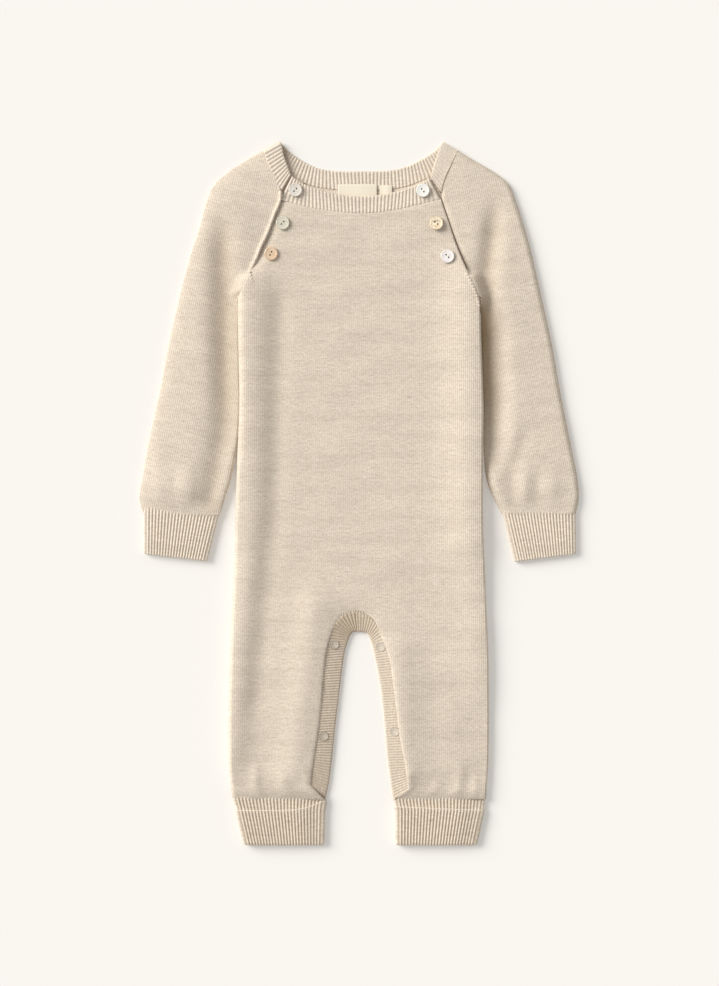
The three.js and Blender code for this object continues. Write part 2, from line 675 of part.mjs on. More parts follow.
// Inner edge of one layer: down the raglan seam to the underarm, then along the inner fold
function sleeveInnerEdge(corner, raglanPoints, innerLine) {
  const raglan = lineThrough([corner, ...raglanPoints, innerLine.getPointAt(0)]);
  return (v) => (v <= UNDERARM_SHARE
    ? raglan.getPointAt(v / UNDERARM_SHARE)
    : innerLine.getPointAt((v - UNDERARM_SHARE) / (1 - UNDERARM_SHARE)));
}

function sleeve(side) {
  const outward = OUTWARD[side];
  const outerLine = lineThrough(SLEEVE_OUTER[side]);
  const innerLine = sleeveInnerLine(side);
  const outer = (v) => outerLine.getPointAt(v);
  const hem = (u) => outer(1).lerp(innerLine.getPointAt(1), u);
  const besideNeck = (row) => beyondSeam(row, SLEEVE_GAP);
  const frontNeck = NECKBAND_OVER_SLEEVE[side].slice(1).reverse().map(besideNeck);
  const backNeckRows = side === 'right' ? NECKBAND_BACK.slice(0, 3) : NECKBAND_BACK.slice(-3).reverse();
  const backNeck = backNeckRows.map(besideNeck);
  const besideRaglan = (rows, gap) => rows.map(({ x, y }) => ({ x: x + outward * gap, y }));
  const frontRaglan = besideRaglan(RAGLAN[side].slice(2, -1), PLACKET_GAP[side]);
  const backRaglan = besideRaglan(BACK_RAGLAN[side].slice(1, -1), SEAM_GAP);
  const layers = [
    { neck: [...frontNeck, NECK_CORNER[side]], raglan: frontRaglan, columns: frontColumns, below: false },
    { neck: backNeck, raglan: backRaglan, columns: backColumns, below: true },
  ];
  const shares = [];
  for (let k = 0; k < YOKE_ROWS; k += 1) shares.push((UNDERARM_SHARE * k) / YOKE_ROWS);
  for (let k = 0; k <= ARM_ROWS; k += 1) shares.push(THREE.MathUtils.lerp(UNDERARM_SHARE, 1, k / ARM_ROWS));
  const surface = newSurface();
  for (const { neck, raglan, columns, below } of layers) {
    const neckLine = lineThrough([outer(0), ...neck]);
    const inner = sleeveInnerEdge(neck[neck.length - 1], raglan, innerLine);
    const patch = patchBetween((u) => neckLine.getPointAt(u), hem, outer, inner);
    const grid = shares.map((v, k) => {
      const width = patch(0, v).distanceTo(patch(1, v));
      return columns(width, k >= YOKE_ROWS).map(({ u, lift }) => {
        const { x, y } = patch(u, v);
        return new THREE.Vector3(x, y, lift * (SLEEVE_TOP + foldRise(SLEEVE_FOLDS[side], x, y)));
      });
    });
    addGrid(surface, grid, { flip: (side === 'left') !== below });
  }
  return wall(surface, CLOTH);
}

// Ribbed cuffs

// Columns round a flattened cuff: ribs across the upper side, a fold, a few columns below and a fold.
// angle is the direction of the cloth's outer face, from level at a fold to straight up or down
function cuffColumns(ribs) {
  const columns = [];
  const steps = ribs * 2;
  for (let k = 0; k <= steps; k += 1) columns.push({ across: k / steps, angle: Math.PI / 2, crest: k % 2 });
  const fold = [1, 0, -1].map((turn) => {
    const angle = (turn * Math.PI) / 4;
    return { across: 1, angle, crest: 1 - Math.abs(turn) };
  });
  columns.push(...fold);
  for (let k = 0; k <= CUFF_COLUMNS_BELOW; k += 1) {
    columns.push({ across: 1 - k / CUFF_COLUMNS_BELOW, angle: -Math.PI / 2, crest: 0 });
  }
  columns.push(...fold.map((column) => ({ ...column, across: 0 })).reverse());
  return columns;
}

// A cuff from its section: outer and inner give the two folds of the tube's inside, insideTop and
// insideBottom its heights, each at a share of the length; edgeRise lifts the turned-up edge
function cuff({ section, ribs, length, outer, inner, insideTop, insideBottom, edgeRise = () => 0 }) {
  const rings = cuffColumns(ribs).map(({ across, angle, crest }) => section.map((place) => {
    const raised = place.edge && angle > 0 ? edgeRise(across) / length : 0;
    const down = place.down - raised;
    const [from, to] = [outer(down), inner(down)];
    const aside = from.clone().sub(to).normalize().multiplyScalar(across > 0.5 ? -1 : 1);
    const radius = (insideTop(down) - insideBottom(down)) / 2;
    const ribbed = angle > -0.1 ? crest * place.rib * RIB_RISE : 0;
    const reach = radius + place.out + ribbed;
    const point = from.lerp(to, across).addScaledVector(aside, reach * Math.cos(angle));
    point.z = insideBottom(down) + radius + reach * Math.sin(angle);
    return point;
  }));
  return solidOfRings(rings, { joined: true });
}

function sleeveCuff(side) {
  const { outer, inner } = SLEEVE_CUFFS[side];
  const between = ([a, b]) => (t) => new THREE.Vector3(a.x, a.y, 0).lerp(new THREE.Vector3(b.x, b.y, 0), t);
  return cuff({
    section: PLAIN_CUFF,
    ribs: SLEEVE_RIBS,
    length: outer[0].y - outer[1].y,
    outer: between(outer),
    inner: between(inner),
    insideTop: () => SLEEVE_CUFF_INSIDE,
    insideBottom: () => RIB_CLOTH,
  });
}

function legCuff(side) {
  const rows = LEG_CUFFS[side];
  const length = rows[rows.length - 1].down;
  const lineOf = (name) => (t) => new THREE.Vector3(
    valueAt(rows, 'down', t * length, name),
    LEG_CUFF_START - t * length,
    0,
  );
  const edge = LEG_CUFF_EDGE[side];
  const thickening = (t) => Math.min(t / TURN_UP_AT, 1);
  return cuff({
    section: TURNED_UP,
    ribs: LEG_CUFF_RIBS,
    length,
    outer: lineOf('outer'),
    inner: lineOf('inner'),
    insideTop: () => LEG_CUFF_INSIDE,
    insideBottom: (t) => THREE.MathUtils.lerp(RIB_CLOTH, TURNED_CLOTH, thickening(t)),
    edgeRise: (across) => edge.rise * THREE.MathUtils.smoothstep(across, edge.from, 1),
  });
}

// Ribbed bands

// Stations along a band: its free and sewn edges, the direction of its outer face and where ribs stand
function bandStations(rows, { pitch, free = BAND_TOP, sewn = BAND_TOP, up = UP, outer = 1, inner = 0 }) {
  const freeLine = lineThrough(rows, 'ex', 'ey');
  const sewnLine = lineThrough(rows, 'sx', 'sy');
  const middle = lineThrough(rows.map((row) => ({ x: (row.ex + row.sx) / 2, y: (row.ey + row.sy) / 2 })));
  const steps = Math.max(1, Math.round(middle.getLength() / pitch)) * 2;
  return Array.from({ length: steps + 1 }, (_, k) => {
    const t = middle.getUtoTmapping(k / steps);
    const ends = { free: freeLine.getPoint(t).setZ(free), sewn: sewnLine.getPoint(t).setZ(sewn) };
    return { ...ends, up, crest: k % 2, outer, inner };
  });
}

// Solid of a band: at each station an outer face, an inner face and, if round, a nose at the free edge
function band(stations, { round = true } = {}) {
  const half = RIB_CLOTH / 2;
  const rings = stations.map(({ free, sewn, up, crest, outer, inner }) => {
    const across = sewn.clone().sub(free).normalize();
    const shoulder = free.clone().addScaledVector(across, round ? BAND_NOSE : 0);
    const out = half + crest * outer * RIB_RISE;
    const under = -half - crest * inner * RIB_RISE;
    const ring = [
      shoulder.clone().addScaledVector(up, out),
      sewn.clone().addScaledVector(up, out),
      sewn.clone().addScaledVector(up, under),
      shoulder.clone().addScaledVector(up, under),
    ];
    if (round) ring.push(free);
    return ring;
  });
  return solidOfRings(rings);
}

// The back neckband's turn over a shoulder, from the upper side down to the floor
function shoulderTurn({ ex, ey, sx, sy }) {
  const free = new THREE.Vector3(ex, ey, 0);
  const sewn = new THREE.Vector3(sx, sy, 0);
  const away = new THREE.Vector3(ey - sy, sx - ex, 0).normalize();
  if (away.y < 0) away.negate();
  const radius = (BAND_TOP - BAND_BOTTOM) / 2;
  return [1, 2, 3].map((step) => {
    const angle = (step * Math.PI) / 4;
    const shift = away.clone().multiplyScalar(radius * Math.sin(angle));
    shift.z = BAND_BOTTOM + radius + radius * Math.cos(angle);
    return {
      free: free.clone().add(shift),
      sewn: sewn.clone().add(shift),
      up: away.clone().multiplyScalar(Math.sin(angle)).setZ(Math.cos(angle)),
      crest: step % 2,
      outer: 1,
      inner: 0,
    };
  });
}

function neckbandBack() {
  const over = { pitch: NECK_RIB_PITCH };
  const right = bandStations(NECKBAND_OVER_SLEEVE.right, over);
  const left = bandStations(NECKBAND_OVER_SLEEVE.left, over).reverse();
  const along = bandStations(NECKBAND_BACK, {
    pitch: NECK_RIB_PITCH,
    free: BAND_BOTTOM,
    sewn: BAND_BOTTOM,
    up: UP.clone().negate(),
    outer: 0,
    inner: 1,
  });
  const rightTurn = shoulderTurn(NECKBAND_BACK[0]);
  const leftTurn = shoulderTurn(NECKBAND_BACK[NECKBAND_BACK.length - 1]).reverse();
  return band([...right, ...rightTurn, ...along, ...leftTurn, ...left]);
}

const neckbandFront = () => band(bandStations(NECKBAND_FRONT, { pitch: NECK_RIB_PITCH }));

const legBandFront = (side) => band(
  bandStations(LEG_BANDS[side], { pitch: LEG_RIB_PITCH, ...LEG_BAND_HEIGHTS[side] }),
  { round: false },
);

const legBandBack = (side) => band(
  bandStations(LEG_BANDS[side], { pitch: LEG_BACK_PITCH, free: BAND_BOTTOM, sewn: BAND_BOTTOM, outer: 0 }),
  { round: false },
);

// Button stands, buttons, snaps and labels

function buttonStand(side) {
  const raglan = lineThrough(RAGLAN[side]);
  const inward = -OUTWARD[side];
  const freeLine = lineBeside(raglan, inward * STAND_REACH);
  const sewnLine = lineBeside(raglan, -inward * STAND_UNDER_SLEEVE);
  const stations = [];
  for (let k = 0; k <= 8; k += 1) {
    const share = THREE.MathUtils.lerp(STAND_ENDS.top, STAND_ENDS.bottom, k / 8);
    const [free, sewn] = [freeLine.getPointAt(share), sewnLine.getPointAt(share)];
    free.z = STAND_MIDDLE;
    sewn.z = STAND_MIDDLE;
    stations.push({ free, sewn, up: UP, crest: 0, outer: 0, inner: 0 });
  }
  return band(stations, { round: false });
}

function turned(section, radius, segments) {
  const profile = section.map((row) => new THREE.Vector2(row.radius * radius, row.height));
  return new THREE.LatheGeometry(profile, segments).rotateX(Math.PI / 2);
}

function mergedSolid(geometry) {
  const bare = geometry.clone();
  bare.deleteAttribute('normal');
  bare.deleteAttribute('uv');
  const merged = mergeVertices(bare, 1e-4);
  const triangles = [];
  for (let k = 0; k < merged.index.count; k += 3) {
    const [a, b, c] = [0, 1, 2].map((corner) => merged.index.getX(k + corner));
    if (a !== b && b !== c && c !== a) triangles.push(a, b, c);
  }
  return new wasm.Manifold(new wasm.Mesh({
    numProp: 3,
    vertProperties: new Float32Array(merged.attributes.position.array),
    triVerts: new Uint32Array(triangles),
  }));
}

function fromSolid(solid) {
  const { vertProperties, triVerts } = solid.getMesh();
  const geometry = new THREE.BufferGeometry();
  geometry.setAttribute('position', new THREE.BufferAttribute(vertProperties, 3));
  geometry.setIndex(new THREE.BufferAttribute(triVerts, 1));
  const flat = geometry.toNonIndexed();
  flat.computeVertexNormals();
  return flat;
}

function button(turn) {
  let solid = mergedSolid(turned(BUTTON_SECTION, BUTTON_DIAMETER / 2, BUTTON_SIDES));
  for (const way of [-1, 1]) {
    const radius = BUTTON_HOLE_RADIUS;
    const hole = new THREE.CylinderGeometry(radius, radius, BUTTON_HOLE_DEPTH, BUTTON_HOLE_SIDES);
    hole.rotateX(Math.PI / 2);
    const reach = (way * BUTTON_HOLE_SPACING) / 2;
    hole.translate(Math.cos(turn) * reach, Math.sin(turn) * reach, 0);
    solid = solid.subtract(mergedSolid(hole));
  }
  return fromSolid(solid);
}

function snapPlace(side, { along, across }) {
  const [free, sewn] = [lineThrough(LEG_BANDS[side], 'ex', 'ey'), lineThrough(LEG_BANDS[side], 'sx', 'sy')];
  const heights = LEG_BAND_HEIGHTS[side];
  const place = free.getPoint(along).lerp(sewn.getPoint(along), across);
  place.z = THREE.MathUtils.lerp(heights.free, heights.sewn, across) + RIB_CLOTH / 2 + RIB_RISE + SEAM_GAP;
  return place;
}

// The romper

const wasm = await Module();
wasm.setup();

const WOOL = { color: '#ddd0c0', roughness: 0.92, metalness: 0 };
const RIB_WOOL = { color: '#d8cab8', roughness: 0.92, metalness: 0 };
const SHELL = { color: '#f0ede6', roughness: 0.3, metalness: 0 };
const CLEAR_PLASTIC = { color: '#dcd3c6', roughness: 0.35, metalness: 0 };
const LABEL_CLOTH = { color: '#f4ecdc', roughness: 0.8, metalness: 0 };

const romper = new THREE.Group();

function addPiece(name, geometry, finish) {
  const mesh = new THREE.Mesh(geometry, new THREE.MeshStandardMaterial(finish));
  mesh.name = name;
  romper.add(mesh);
  return mesh;
}

addPiece('back_panel', backPanel(), WOOL);
addPiece('front_panel', frontPanel(), WOOL);
addPiece('neckband_front', neckbandFront(), RIB_WOOL);
addPiece('neckband_back', neckbandBack(), RIB_WOOL);

for (const side of SIDE_NAMES) {
  addPiece(`sleeve_${side}`, sleeve(side), WOOL);
  addPiece(`sleeve_cuff_${side}`, sleeveCuff(side), RIB_WOOL);
  addPiece(`leg_cuff_${side}`, legCuff(side), RIB_WOOL);
  addPiece(`leg_band_front_${side}`, legBandFront(side), RIB_WOOL);
  addPiece(`leg_band_back_${side}`, legBandBack(side), RIB_WOOL);
  addPiece(`button_stand_${side}`, buttonStand(side), RIB_WOOL);
  BUTTON_SPOTS[side].forEach(({ x, y }, k) => {
    const mesh = addPiece(`button_${side}_${k + 1}`, button(BUTTON_HOLE_TURN[side]), SHELL);
    const onNeckband = BAND_TOP + RIB_CLOTH / 2 + RIB_RISE;
    mesh.position.set(x, y, (k === 0 ? onNeckband : frontTop(x, y)) + SEAM_GAP);
  });
  SNAP_PLACES[side].forEach((spot, k) => {
    const cap = turned(SNAP_SECTION, SNAP_DIAMETER / 2, SNAP_SIDES);
    const mesh = addPiece(`snap_cap_${side}_${k + 1}`, cap, CLEAR_PLASTIC);
    mesh.position.copy(snapPlace(side, spot));
    mesh.rotation.y = -OUTWARD[side] * SNAP_TILT;
  });
}

for (const [name, { x, top, width, height }] of Object.entries(LABELS)) {
  const mesh = addPiece(name, new THREE.BoxGeometry(width, height, LABEL_THICKNESS), LABEL_CLOTH);
  mesh.position.set(x, top - height / 2, LABEL_BOTTOM + LABEL_THICKNESS / 2);
}

export default romper;
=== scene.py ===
"""A knitted baby romper, laid flat on its back: heathered wool, raglan sleeves, buttoned plackets on
both shoulders, ribbed bands and turned-up leg cuffs.

Plans, heights and cloth are worked out in millimetres and put into the meshes in metres. The front of
the romper faces +Z and its neck points to +Y. Right and left are the wearer's, so the left sleeve lies
on the +X side.
"""

import bpy
import numpy as np
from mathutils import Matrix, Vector


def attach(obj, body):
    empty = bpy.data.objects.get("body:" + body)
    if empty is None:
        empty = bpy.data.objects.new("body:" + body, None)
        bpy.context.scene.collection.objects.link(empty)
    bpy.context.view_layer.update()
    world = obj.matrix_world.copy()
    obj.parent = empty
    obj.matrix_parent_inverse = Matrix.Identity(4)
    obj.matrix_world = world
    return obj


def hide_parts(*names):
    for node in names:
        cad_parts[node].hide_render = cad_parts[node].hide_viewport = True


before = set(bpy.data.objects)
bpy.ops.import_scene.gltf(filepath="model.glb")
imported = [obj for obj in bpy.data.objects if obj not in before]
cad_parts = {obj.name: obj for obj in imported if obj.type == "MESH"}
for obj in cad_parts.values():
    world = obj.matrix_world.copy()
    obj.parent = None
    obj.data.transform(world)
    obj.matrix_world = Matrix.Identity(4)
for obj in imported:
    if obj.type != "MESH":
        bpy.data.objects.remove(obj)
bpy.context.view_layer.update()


# Back panel
# One knitted piece with the back of the body and both legs. It lies on the floor, plain side down, and
# curls up along the side seams, where the front panel is linked to it.

CLOTH = 1.2  # thickness of the plain knit
SEAM_GAP = 0.05  # between two pieces that are linked together
HEM_REACH = 1.2  # how far a panel runs on over the first stitches of its cuff
WALE = 1.76  # width of one column of stitches
COURSE = 1.12  # height of one row of stitches
UNDERARM = 171.0
LEGS_BEGIN = -104.0  # y of the last row that runs across both legs
LEG_LENGTH = 175.0  # roughly, from there to the hem: it sets how many rows a leg has
BACK_STEP = 5.0  # between the rows of the back
CROTCH_X = -3.8  # centre line, where the two leg bands join
CURL = 0.8  # how far the back panel rises along the side seams
CURL_WIDTH = 4.5
OUTWARD = {"right": -1, "left": 1}

# Side seams from the underarm to the hem: y, x on the right, x on the left
SIDES = np.array([
    (171.0, -106.9, 106.2), (143.0, -106.9, 106.9), (115.0, -106.4, 107.8), (75.0, -106.0, 109.2),
    (30.0, -107.8, 108.7), (-28.0, -109.6, 108.8), (-65.0, -110.5, 110.3), (-109.0, -112.6, 112.2),
    (-145.0, -114.2, 113.6), (-205.0, -115.7, 114.0), (-245.0, -115.0, 113.1), (-268.0, -112.0, 111.2),
])
# Raglan seams of the back panel from the neck to the underarm: x, y
BACK_RAGLAN = {
    "right": [(-65.4, 279.4), (-73.5, 258.0), (-81.4, 233.0), (-89.5, 211.0), (-96.0, 194.8),
              (-106.9, 171.0)],
    "left": [(67.1, 280.3), (74.5, 259.0), (82.3, 233.0), (89.5, 210.0), (95.9, 193.6),
             (106.2, 171.0)],
}
# Back neckband from the right shoulder to the left one: free edge x, y and sewn edge x, y
NECKBAND_BACK = [
    (-68.4, 307.3, -83.2, 299.0), (-63.0, 302.0, -75.5, 289.5), (-56.0, 296.6, -65.5, 280.5),
    (-45.3, 290.2, -50.5, 274.2), (-36.0, 286.3, -37.4, 270.2), (-22.0, 284.0, -20.7, 268.0),
    (-2.0, 283.6, -1.0, 267.4), (18.0, 283.9, 17.5, 267.6), (30.0, 285.0, 31.0, 268.6),
    (41.0, 287.8, 42.5, 271.2), (50.0, 292.0, 54.0, 275.3), (59.4, 297.2, 67.4, 281.5),
    (66.6, 302.2, 77.0, 290.0), (71.9, 307.2, 85.2, 299.2),
]
# Bands of the inner-leg opening from their join over the crotch down to the cuff: free edge x, y,
# sewn edge x, y and the y at which the panel's row meets the side seam
LEG_BANDS = {
    "right": [
        (-2.2, -122.2, -4.1, -105.0, -105), (-5.2, -122.5, -14.2, -108.2, -112),
        (-7.6, -124.4, -21.0, -116.2, -120), (-9.8, -129.6, -26.0, -127.6, -130),
        (-12.8, -139.0, -29.4, -140.0, -142), (-15.4, -156.0, -31.3, -157.0, -158),
        (-18.2, -180.0, -33.2, -180.0, -180), (-21.4, -206.0, -35.8, -206.5, -206),
        (-23.6, -228.0, -39.2, -227.5, -228), (-26.8, -254.0, -42.2, -248.0, -248),
        (-29.6, -267.6, -42.8, -257.0, -258),
    ],
    "left": [
        (-1.6, -122.2, -3.5, -105.0, -105), (3.2, -122.2, 5.0, -107.0, -110),
        (6.6, -123.4, 11.0, -111.2, -118), (9.4, -128.4, 16.8, -121.0, -128),
        (11.6, -135.6, 22.0, -133.0, -138), (14.6, -148.6, 26.6, -147.0, -150),
        (18.0, -168.0, 29.6, -167.0, -168), (20.8, -190.0, 32.4, -189.0, -190),
        (23.0, -214.0, 35.4, -213.0, -214), (25.4, -240.0, 40.4, -239.0, -240),
        (29.4, -268.4, 42.9, -260.0, -260),
    ],
}
# Inner corner of each hem x, y and the y at which the hem meets the side seam
HEM_CORNERS = {"right": (-30.2, -268.4, -267.2), "left": (30.2, -268.5, -267.8)}


class Line:
    """A smooth line through points in plan: a centripetal Catmull-Rom spline, kept as fine samples."""

    def __init__(self, points, steps=40):
        p = np.asarray(points, float)
        q = np.vstack([2 * p[0] - p[1], p, 2 * p[-1] - p[-2]])
        gap = np.sqrt(np.linalg.norm(np.diff(q, axis=0), axis=1))[:, None]
        before, here, after = gap[:-2], gap[1:-1], gap[2:]
        p0, p1, p2, p3 = q[:-3], q[1:-2], q[2:-1], q[3:]
        leave = here * ((p1 - p0) / before - (p2 - p0) / (before + here)) + (p2 - p1)
        arrive = here * ((p3 - p2) / after - (p3 - p1) / (here + after)) + (p2 - p1)
        t = (np.arange(steps) / steps)[None, :, None]
        p1, p2, leave, arrive = (values[:, None, :] for values in (p1, p2, leave, arrive))
        curve = p1 * (2 * t**3 - 3 * t**2 + 1) + leave * (t**3 - 2 * t**2 + t)
        curve = curve + p2 * (3 * t**2 - 2 * t**3) + arrive * (t**3 - t**2)
        self.points = np.vstack([curve.reshape(-1, p.shape[1]), p[-1]])
        self.row = np.append((np.arange(len(p) - 1)[:, None] + t[0, :, 0]).ravel(), len(p) - 1.0)
        self.run = np.append(0, np.cumsum(np.linalg.norm(np.diff(self.points, axis=0), axis=1)))
        self.length = self.run[-1]

    def _read(self, where, scale):
        columns = [np.interp(where, scale, column) for column in self.points.T]
        return np.stack(columns, axis=-1)

    def at(self, row):
        """The point at a place counted in rows of the table that the line goes through."""
        return self._read(row, self.row)

    def along(self, share):
        """The point at a share of the line's length."""
        return self._read(np.asarray(share) * self.length, self.run)

    def beside(self, distance, steps=60):
        """A line beside this one, moved to the left of its direction."""
        share = np.linspace(0, 1, steps)
        ahead = self.along(np.minimum(share + 0.01, 1)) - self.along(np.maximum(share - 0.01, 0))
        ahead /= np.linalg.norm(ahead, axis=1)[:, None]
        return Line(self.along(share) + distance * np.stack([-ahead[:, 1], ahead[:, 0]], axis=1))


def side_line(side):
    """A side seam as a smooth line from the underarm to the hem."""
    return Line(SIDES[:, [1 if side == "right" else 2, 0]])


def side_seam(y, side):
    """x of a side seam at a height y."""
    x, seam_y = side_line(side).points.T
    return np.interp(-np.asarray(y), -seam_y, x)


def smooth(x):
    """0 below 0, 1 above 1 and an S curve between."""
    x = np.clip(x, 0, 1)
    return x * x * (3 - 2 * x)


def quarter_round(distance, radius):
    """Height of a quarter circle that rises from 0 at the edge to 1 at its radius."""
    inside = np.clip(1 - distance / radius, 0, 1)
    return np.sqrt(1 - inside**2)


def columns_to_middle(width, rolled, count, radius):
    """Shares across a row: close together on the rounded side, then even up to the middle."""
    edge = radius * (1 - np.cos(np.linspace(0, np.pi / 2, rolled, endpoint=False))) / width[:, None]
    plain = radius / width[:, None] + (1 - radius / width[:, None]) * np.linspace(0, 1, count)
    return np.hstack([edge, plain])


def beyond_seam(free, sewn, gap):
    """The sewn edge of a band, moved on by a gap."""
    across = sewn - free
    return sewn + gap * across / np.linalg.norm(across, axis=-1, keepdims=True)


def body_rows(raglan, neck, step, rolled, count, radius):
    """Plan of a panel as three grids: the body from the neck to the crotch, and two legs.

    Every row runs from the right side seam to the left one. A row of the yoke joins its two raglan
    points and takes a share of the neck's curve that falls off with the square of its distance. A row
    of a leg joins the side seam to the leg band. Returns plan points and their distance to the side.
    """
    yoke = np.linspace(1, 0, int(raglan["right"].length / step))[:-1, None]
    ends = [raglan[side].along(1 - yoke[:, 0]) for side in ("right", "left")]
    width = np.linalg.norm(ends[1] - ends[0], axis=1)
    half = columns_to_middle(width / 2, rolled, count, radius)
    share = np.hstack([half / 2, 1 - half[:, -2::-1] / 2])[..., None]
    chord = neck.along(0) + share * (neck.along(1) - neck.along(0))
    bow = (neck.along(share[..., 0]) - chord) * yoke[..., None] ** 2
    top = ends[0][:, None] * (1 - share) + ends[1][:, None] * share + bow
    y = np.linspace(UNDERARM, LEGS_BEGIN, int((UNDERARM - LEGS_BEGIN) / step))
    ends = [np.stack([side_seam(y, side), y], axis=1) for side in ("right", "left")]
    middle = np.stack([np.full_like(y, CROTCH_X), y], axis=1)
    middle[:, 0] = np.interp(y, [LEGS_BEGIN, UNDERARM], [CROTCH_X, 0.0])
    halves = []
    for end in ends:
        share = columns_to_middle(np.linalg.norm(middle - end, axis=1), rolled, count, radius)[..., None]
        halves.append(end[:, None] * (1 - share) + middle[:, None] * share)
    body = np.hstack([halves[0], halves[1][:, -2::-1]])
    grids = [np.vstack([top, body])]
    for side in ("right", "left"):
        rows = np.array(LEG_BANDS[side])
        row = np.linspace(0, len(rows) - 1, int(LEG_LENGTH / step))
        free = Line(rows[:, :2]).at(row)
        sewn = Line(rows[:, 2:4]).at(row)
        inner = np.vstack([beyond_seam(free, sewn, SEAM_GAP), HEM_CORNERS[side][:2]])
        inner[0] = (CROTCH_X, rows[0, 3] + SEAM_GAP)
        outer_y = np.append(np.interp(row, np.arange(len(rows)), rows[:, 4]), HEM_CORNERS[side][2])
        inner[-1, 1] -= HEM_REACH
        outer_y[-1] -= HEM_REACH
        outer = np.stack([side_seam(outer_y, side), outer_y], axis=1)
        share = columns_to_middle(np.linalg.norm(inner - outer, axis=1), rolled, count, radius)
        leg = outer[:, None] * (1 - share[..., None]) + inner[:, None] * share[..., None]
        last = halves[0 if side == "right" else 1][-1:]
        grids.append(np.vstack([last, leg]))
    return grids


def edge_distance(grid, side):
    """Distance of a grid's points from the side at the start of their rows, or from both sides."""
    start = np.linalg.norm(grid - grid[:, :1], axis=-1)
    if side:
        return start
    return np.minimum(start, np.linalg.norm(grid - grid[:, -1:], axis=-1))


def patch(points, uv, painted_shading=1.0, flip=False):
    """One grid of cloth: points, places in the knit in millimetres and the painted shade and highlight of
    its yarn.
    """
    painted_shading = np.broadcast_to(np.asarray(painted_shading, float), points.shape[:2])
    return {"points": points, "uv": uv, "painted_shading": painted_shading, "flip": flip}


def joined(patches):
    """Patches as one surface: points that coincide are merged, and flat triangles dropped."""
    points, uv, painted_shading, faces, start = [], [], [], [], 0
    for part in patches:
        rows, columns = part["points"].shape[:2]
        ids = start + np.arange(rows * columns).reshape(rows, columns)
        a, b, c, d = ids[:-1, :-1], ids[1:, :-1], ids[1:, 1:], ids[:-1, 1:]
        quads = np.stack([a, d, c, b] if part["flip"] else [a, b, c, d], axis=-1).reshape(-1, 4)
        faces += [quads[:, [0, 1, 2]], quads[:, [0, 2, 3]]]
        points.append(part["points"].reshape(-1, 3))
        uv.append(part["uv"].reshape(-1, 2))
        painted_shading.append(part["painted_shading"].ravel())
        start += rows * columns
    points, uv, painted_shading, faces = map(np.concatenate, (points, uv, painted_shading, faces))
    keys = np.round(points / 0.01 + 0.137).astype(np.int64)
    _, first, where = np.unique(keys, axis=0, return_index=True, return_inverse=True)
    where = where.ravel()
    corners = where[faces]
    whole = (corners != np.roll(corners, 1, axis=1)).all(axis=1)
    return points[first], painted_shading[first], corners[whole], uv[faces[whole]]


def point_normals(points, faces):
    """Normals at points: the sum of the normals of the faces round them, weighted by area."""
    a, b, c = (points[faces[:, k]] for k in range(3))
    normals = np.zeros_like(points)
    for k in range(3):
        np.add.at(normals, faces[:, k], np.cross(b - a, c - a))
    return normals / np.maximum(np.linalg.norm(normals, axis=1), 1e-12)[:, None]


def wall(points, painted_shading, faces, uv, thickness):
    """Cloth under a surface: an inner face at its thickness, and edges rounded by one middle line."""
    normals = point_normals(points, faces)
    count = len(points)
    inner = points - thickness * normals
    sides = np.concatenate([faces[:, [0, 1]], faces[:, [1, 2]], faces[:, [2, 0]]])
    side_uv = np.concatenate([uv[:, [0, 1]], uv[:, [1, 2]], uv[:, [2, 0]]])
    key = sides[:, 0] * count + sides[:, 1]
    open_edge = ~np.isin(key, sides[:, 1] * count + sides[:, 0])
    rim, rim_uv = sides[open_edge], side_uv[open_edge]
    ahead = np.zeros_like(points)
    for k in range(2):
        np.add.at(ahead, rim[:, k], points[rim[:, 1]] - points[rim[:, 0]])
    outward = np.cross(ahead, normals)
    outward /= np.maximum(np.linalg.norm(outward, axis=1), 1e-12)[:, None]
    on_rim = np.unique(rim)
    middle_id = np.full(count, -1)
    middle_id[on_rim] = 2 * count + np.arange(len(on_rim))
    middle = points[on_rim] - thickness / 2 * normals[on_rim] + 0.4 * thickness * outward[on_rim]
    a, b = rim.T
    ma, mb = middle_id[a], middle_id[b]
    rims = [(b, a, ma), (b, ma, mb), (mb, ma, a + count), (mb, a + count, b + count)]
    picks = [(1, 0, 0), (1, 0, 1), (1, 0, 0), (1, 0, 1)]
    all_faces = [faces, faces[:, ::-1] + count] + [np.stack(rows, axis=1) for rows in rims]
    all_uv = [uv, uv[:, ::-1]] + [rim_uv[:, list(pick)] for pick in picks]
    return (np.vstack([points, inner, middle]), np.concatenate([painted_shading, painted_shading, painted_shading[on_rim]]),
            np.vstack(all_faces), np.concatenate(all_uv))


def piece(name, points, painted_shading, faces, uv, material, slot):
    """A mesh in metres with its knit as UV map "knit" and its painted shade and highlight as a point
    attribute.
    """
    mesh = bpy.data.meshes.new(name)
    mesh.vertices.add(len(points))
    mesh.vertices.foreach_set("co", (points * 0.001).ravel())
    mesh.loops.add(faces.size)
    mesh.loops.foreach_set("vertex_index", faces.ravel())
    mesh.polygons.add(len(faces))
    mesh.polygons.foreach_set("loop_start", np.arange(0, faces.size, 3))
    mesh.update(calc_edges=True)
    mesh.polygons.foreach_set("use_smooth", np.ones(len(faces), bool))
    mesh.uv_layers.new(name="knit").data.foreach_set("uv", uv.ravel())
    mesh.attributes.new("painted_shading", "FLOAT", "POINT").data.foreach_set("value", painted_shading)
    mesh.materials.append(material)
    mesh.validate()
    made = bpy.data.objects.new(name, mesh)
    bpy.context.scene.collection.objects.link(made)
    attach(made, "root")
    return made


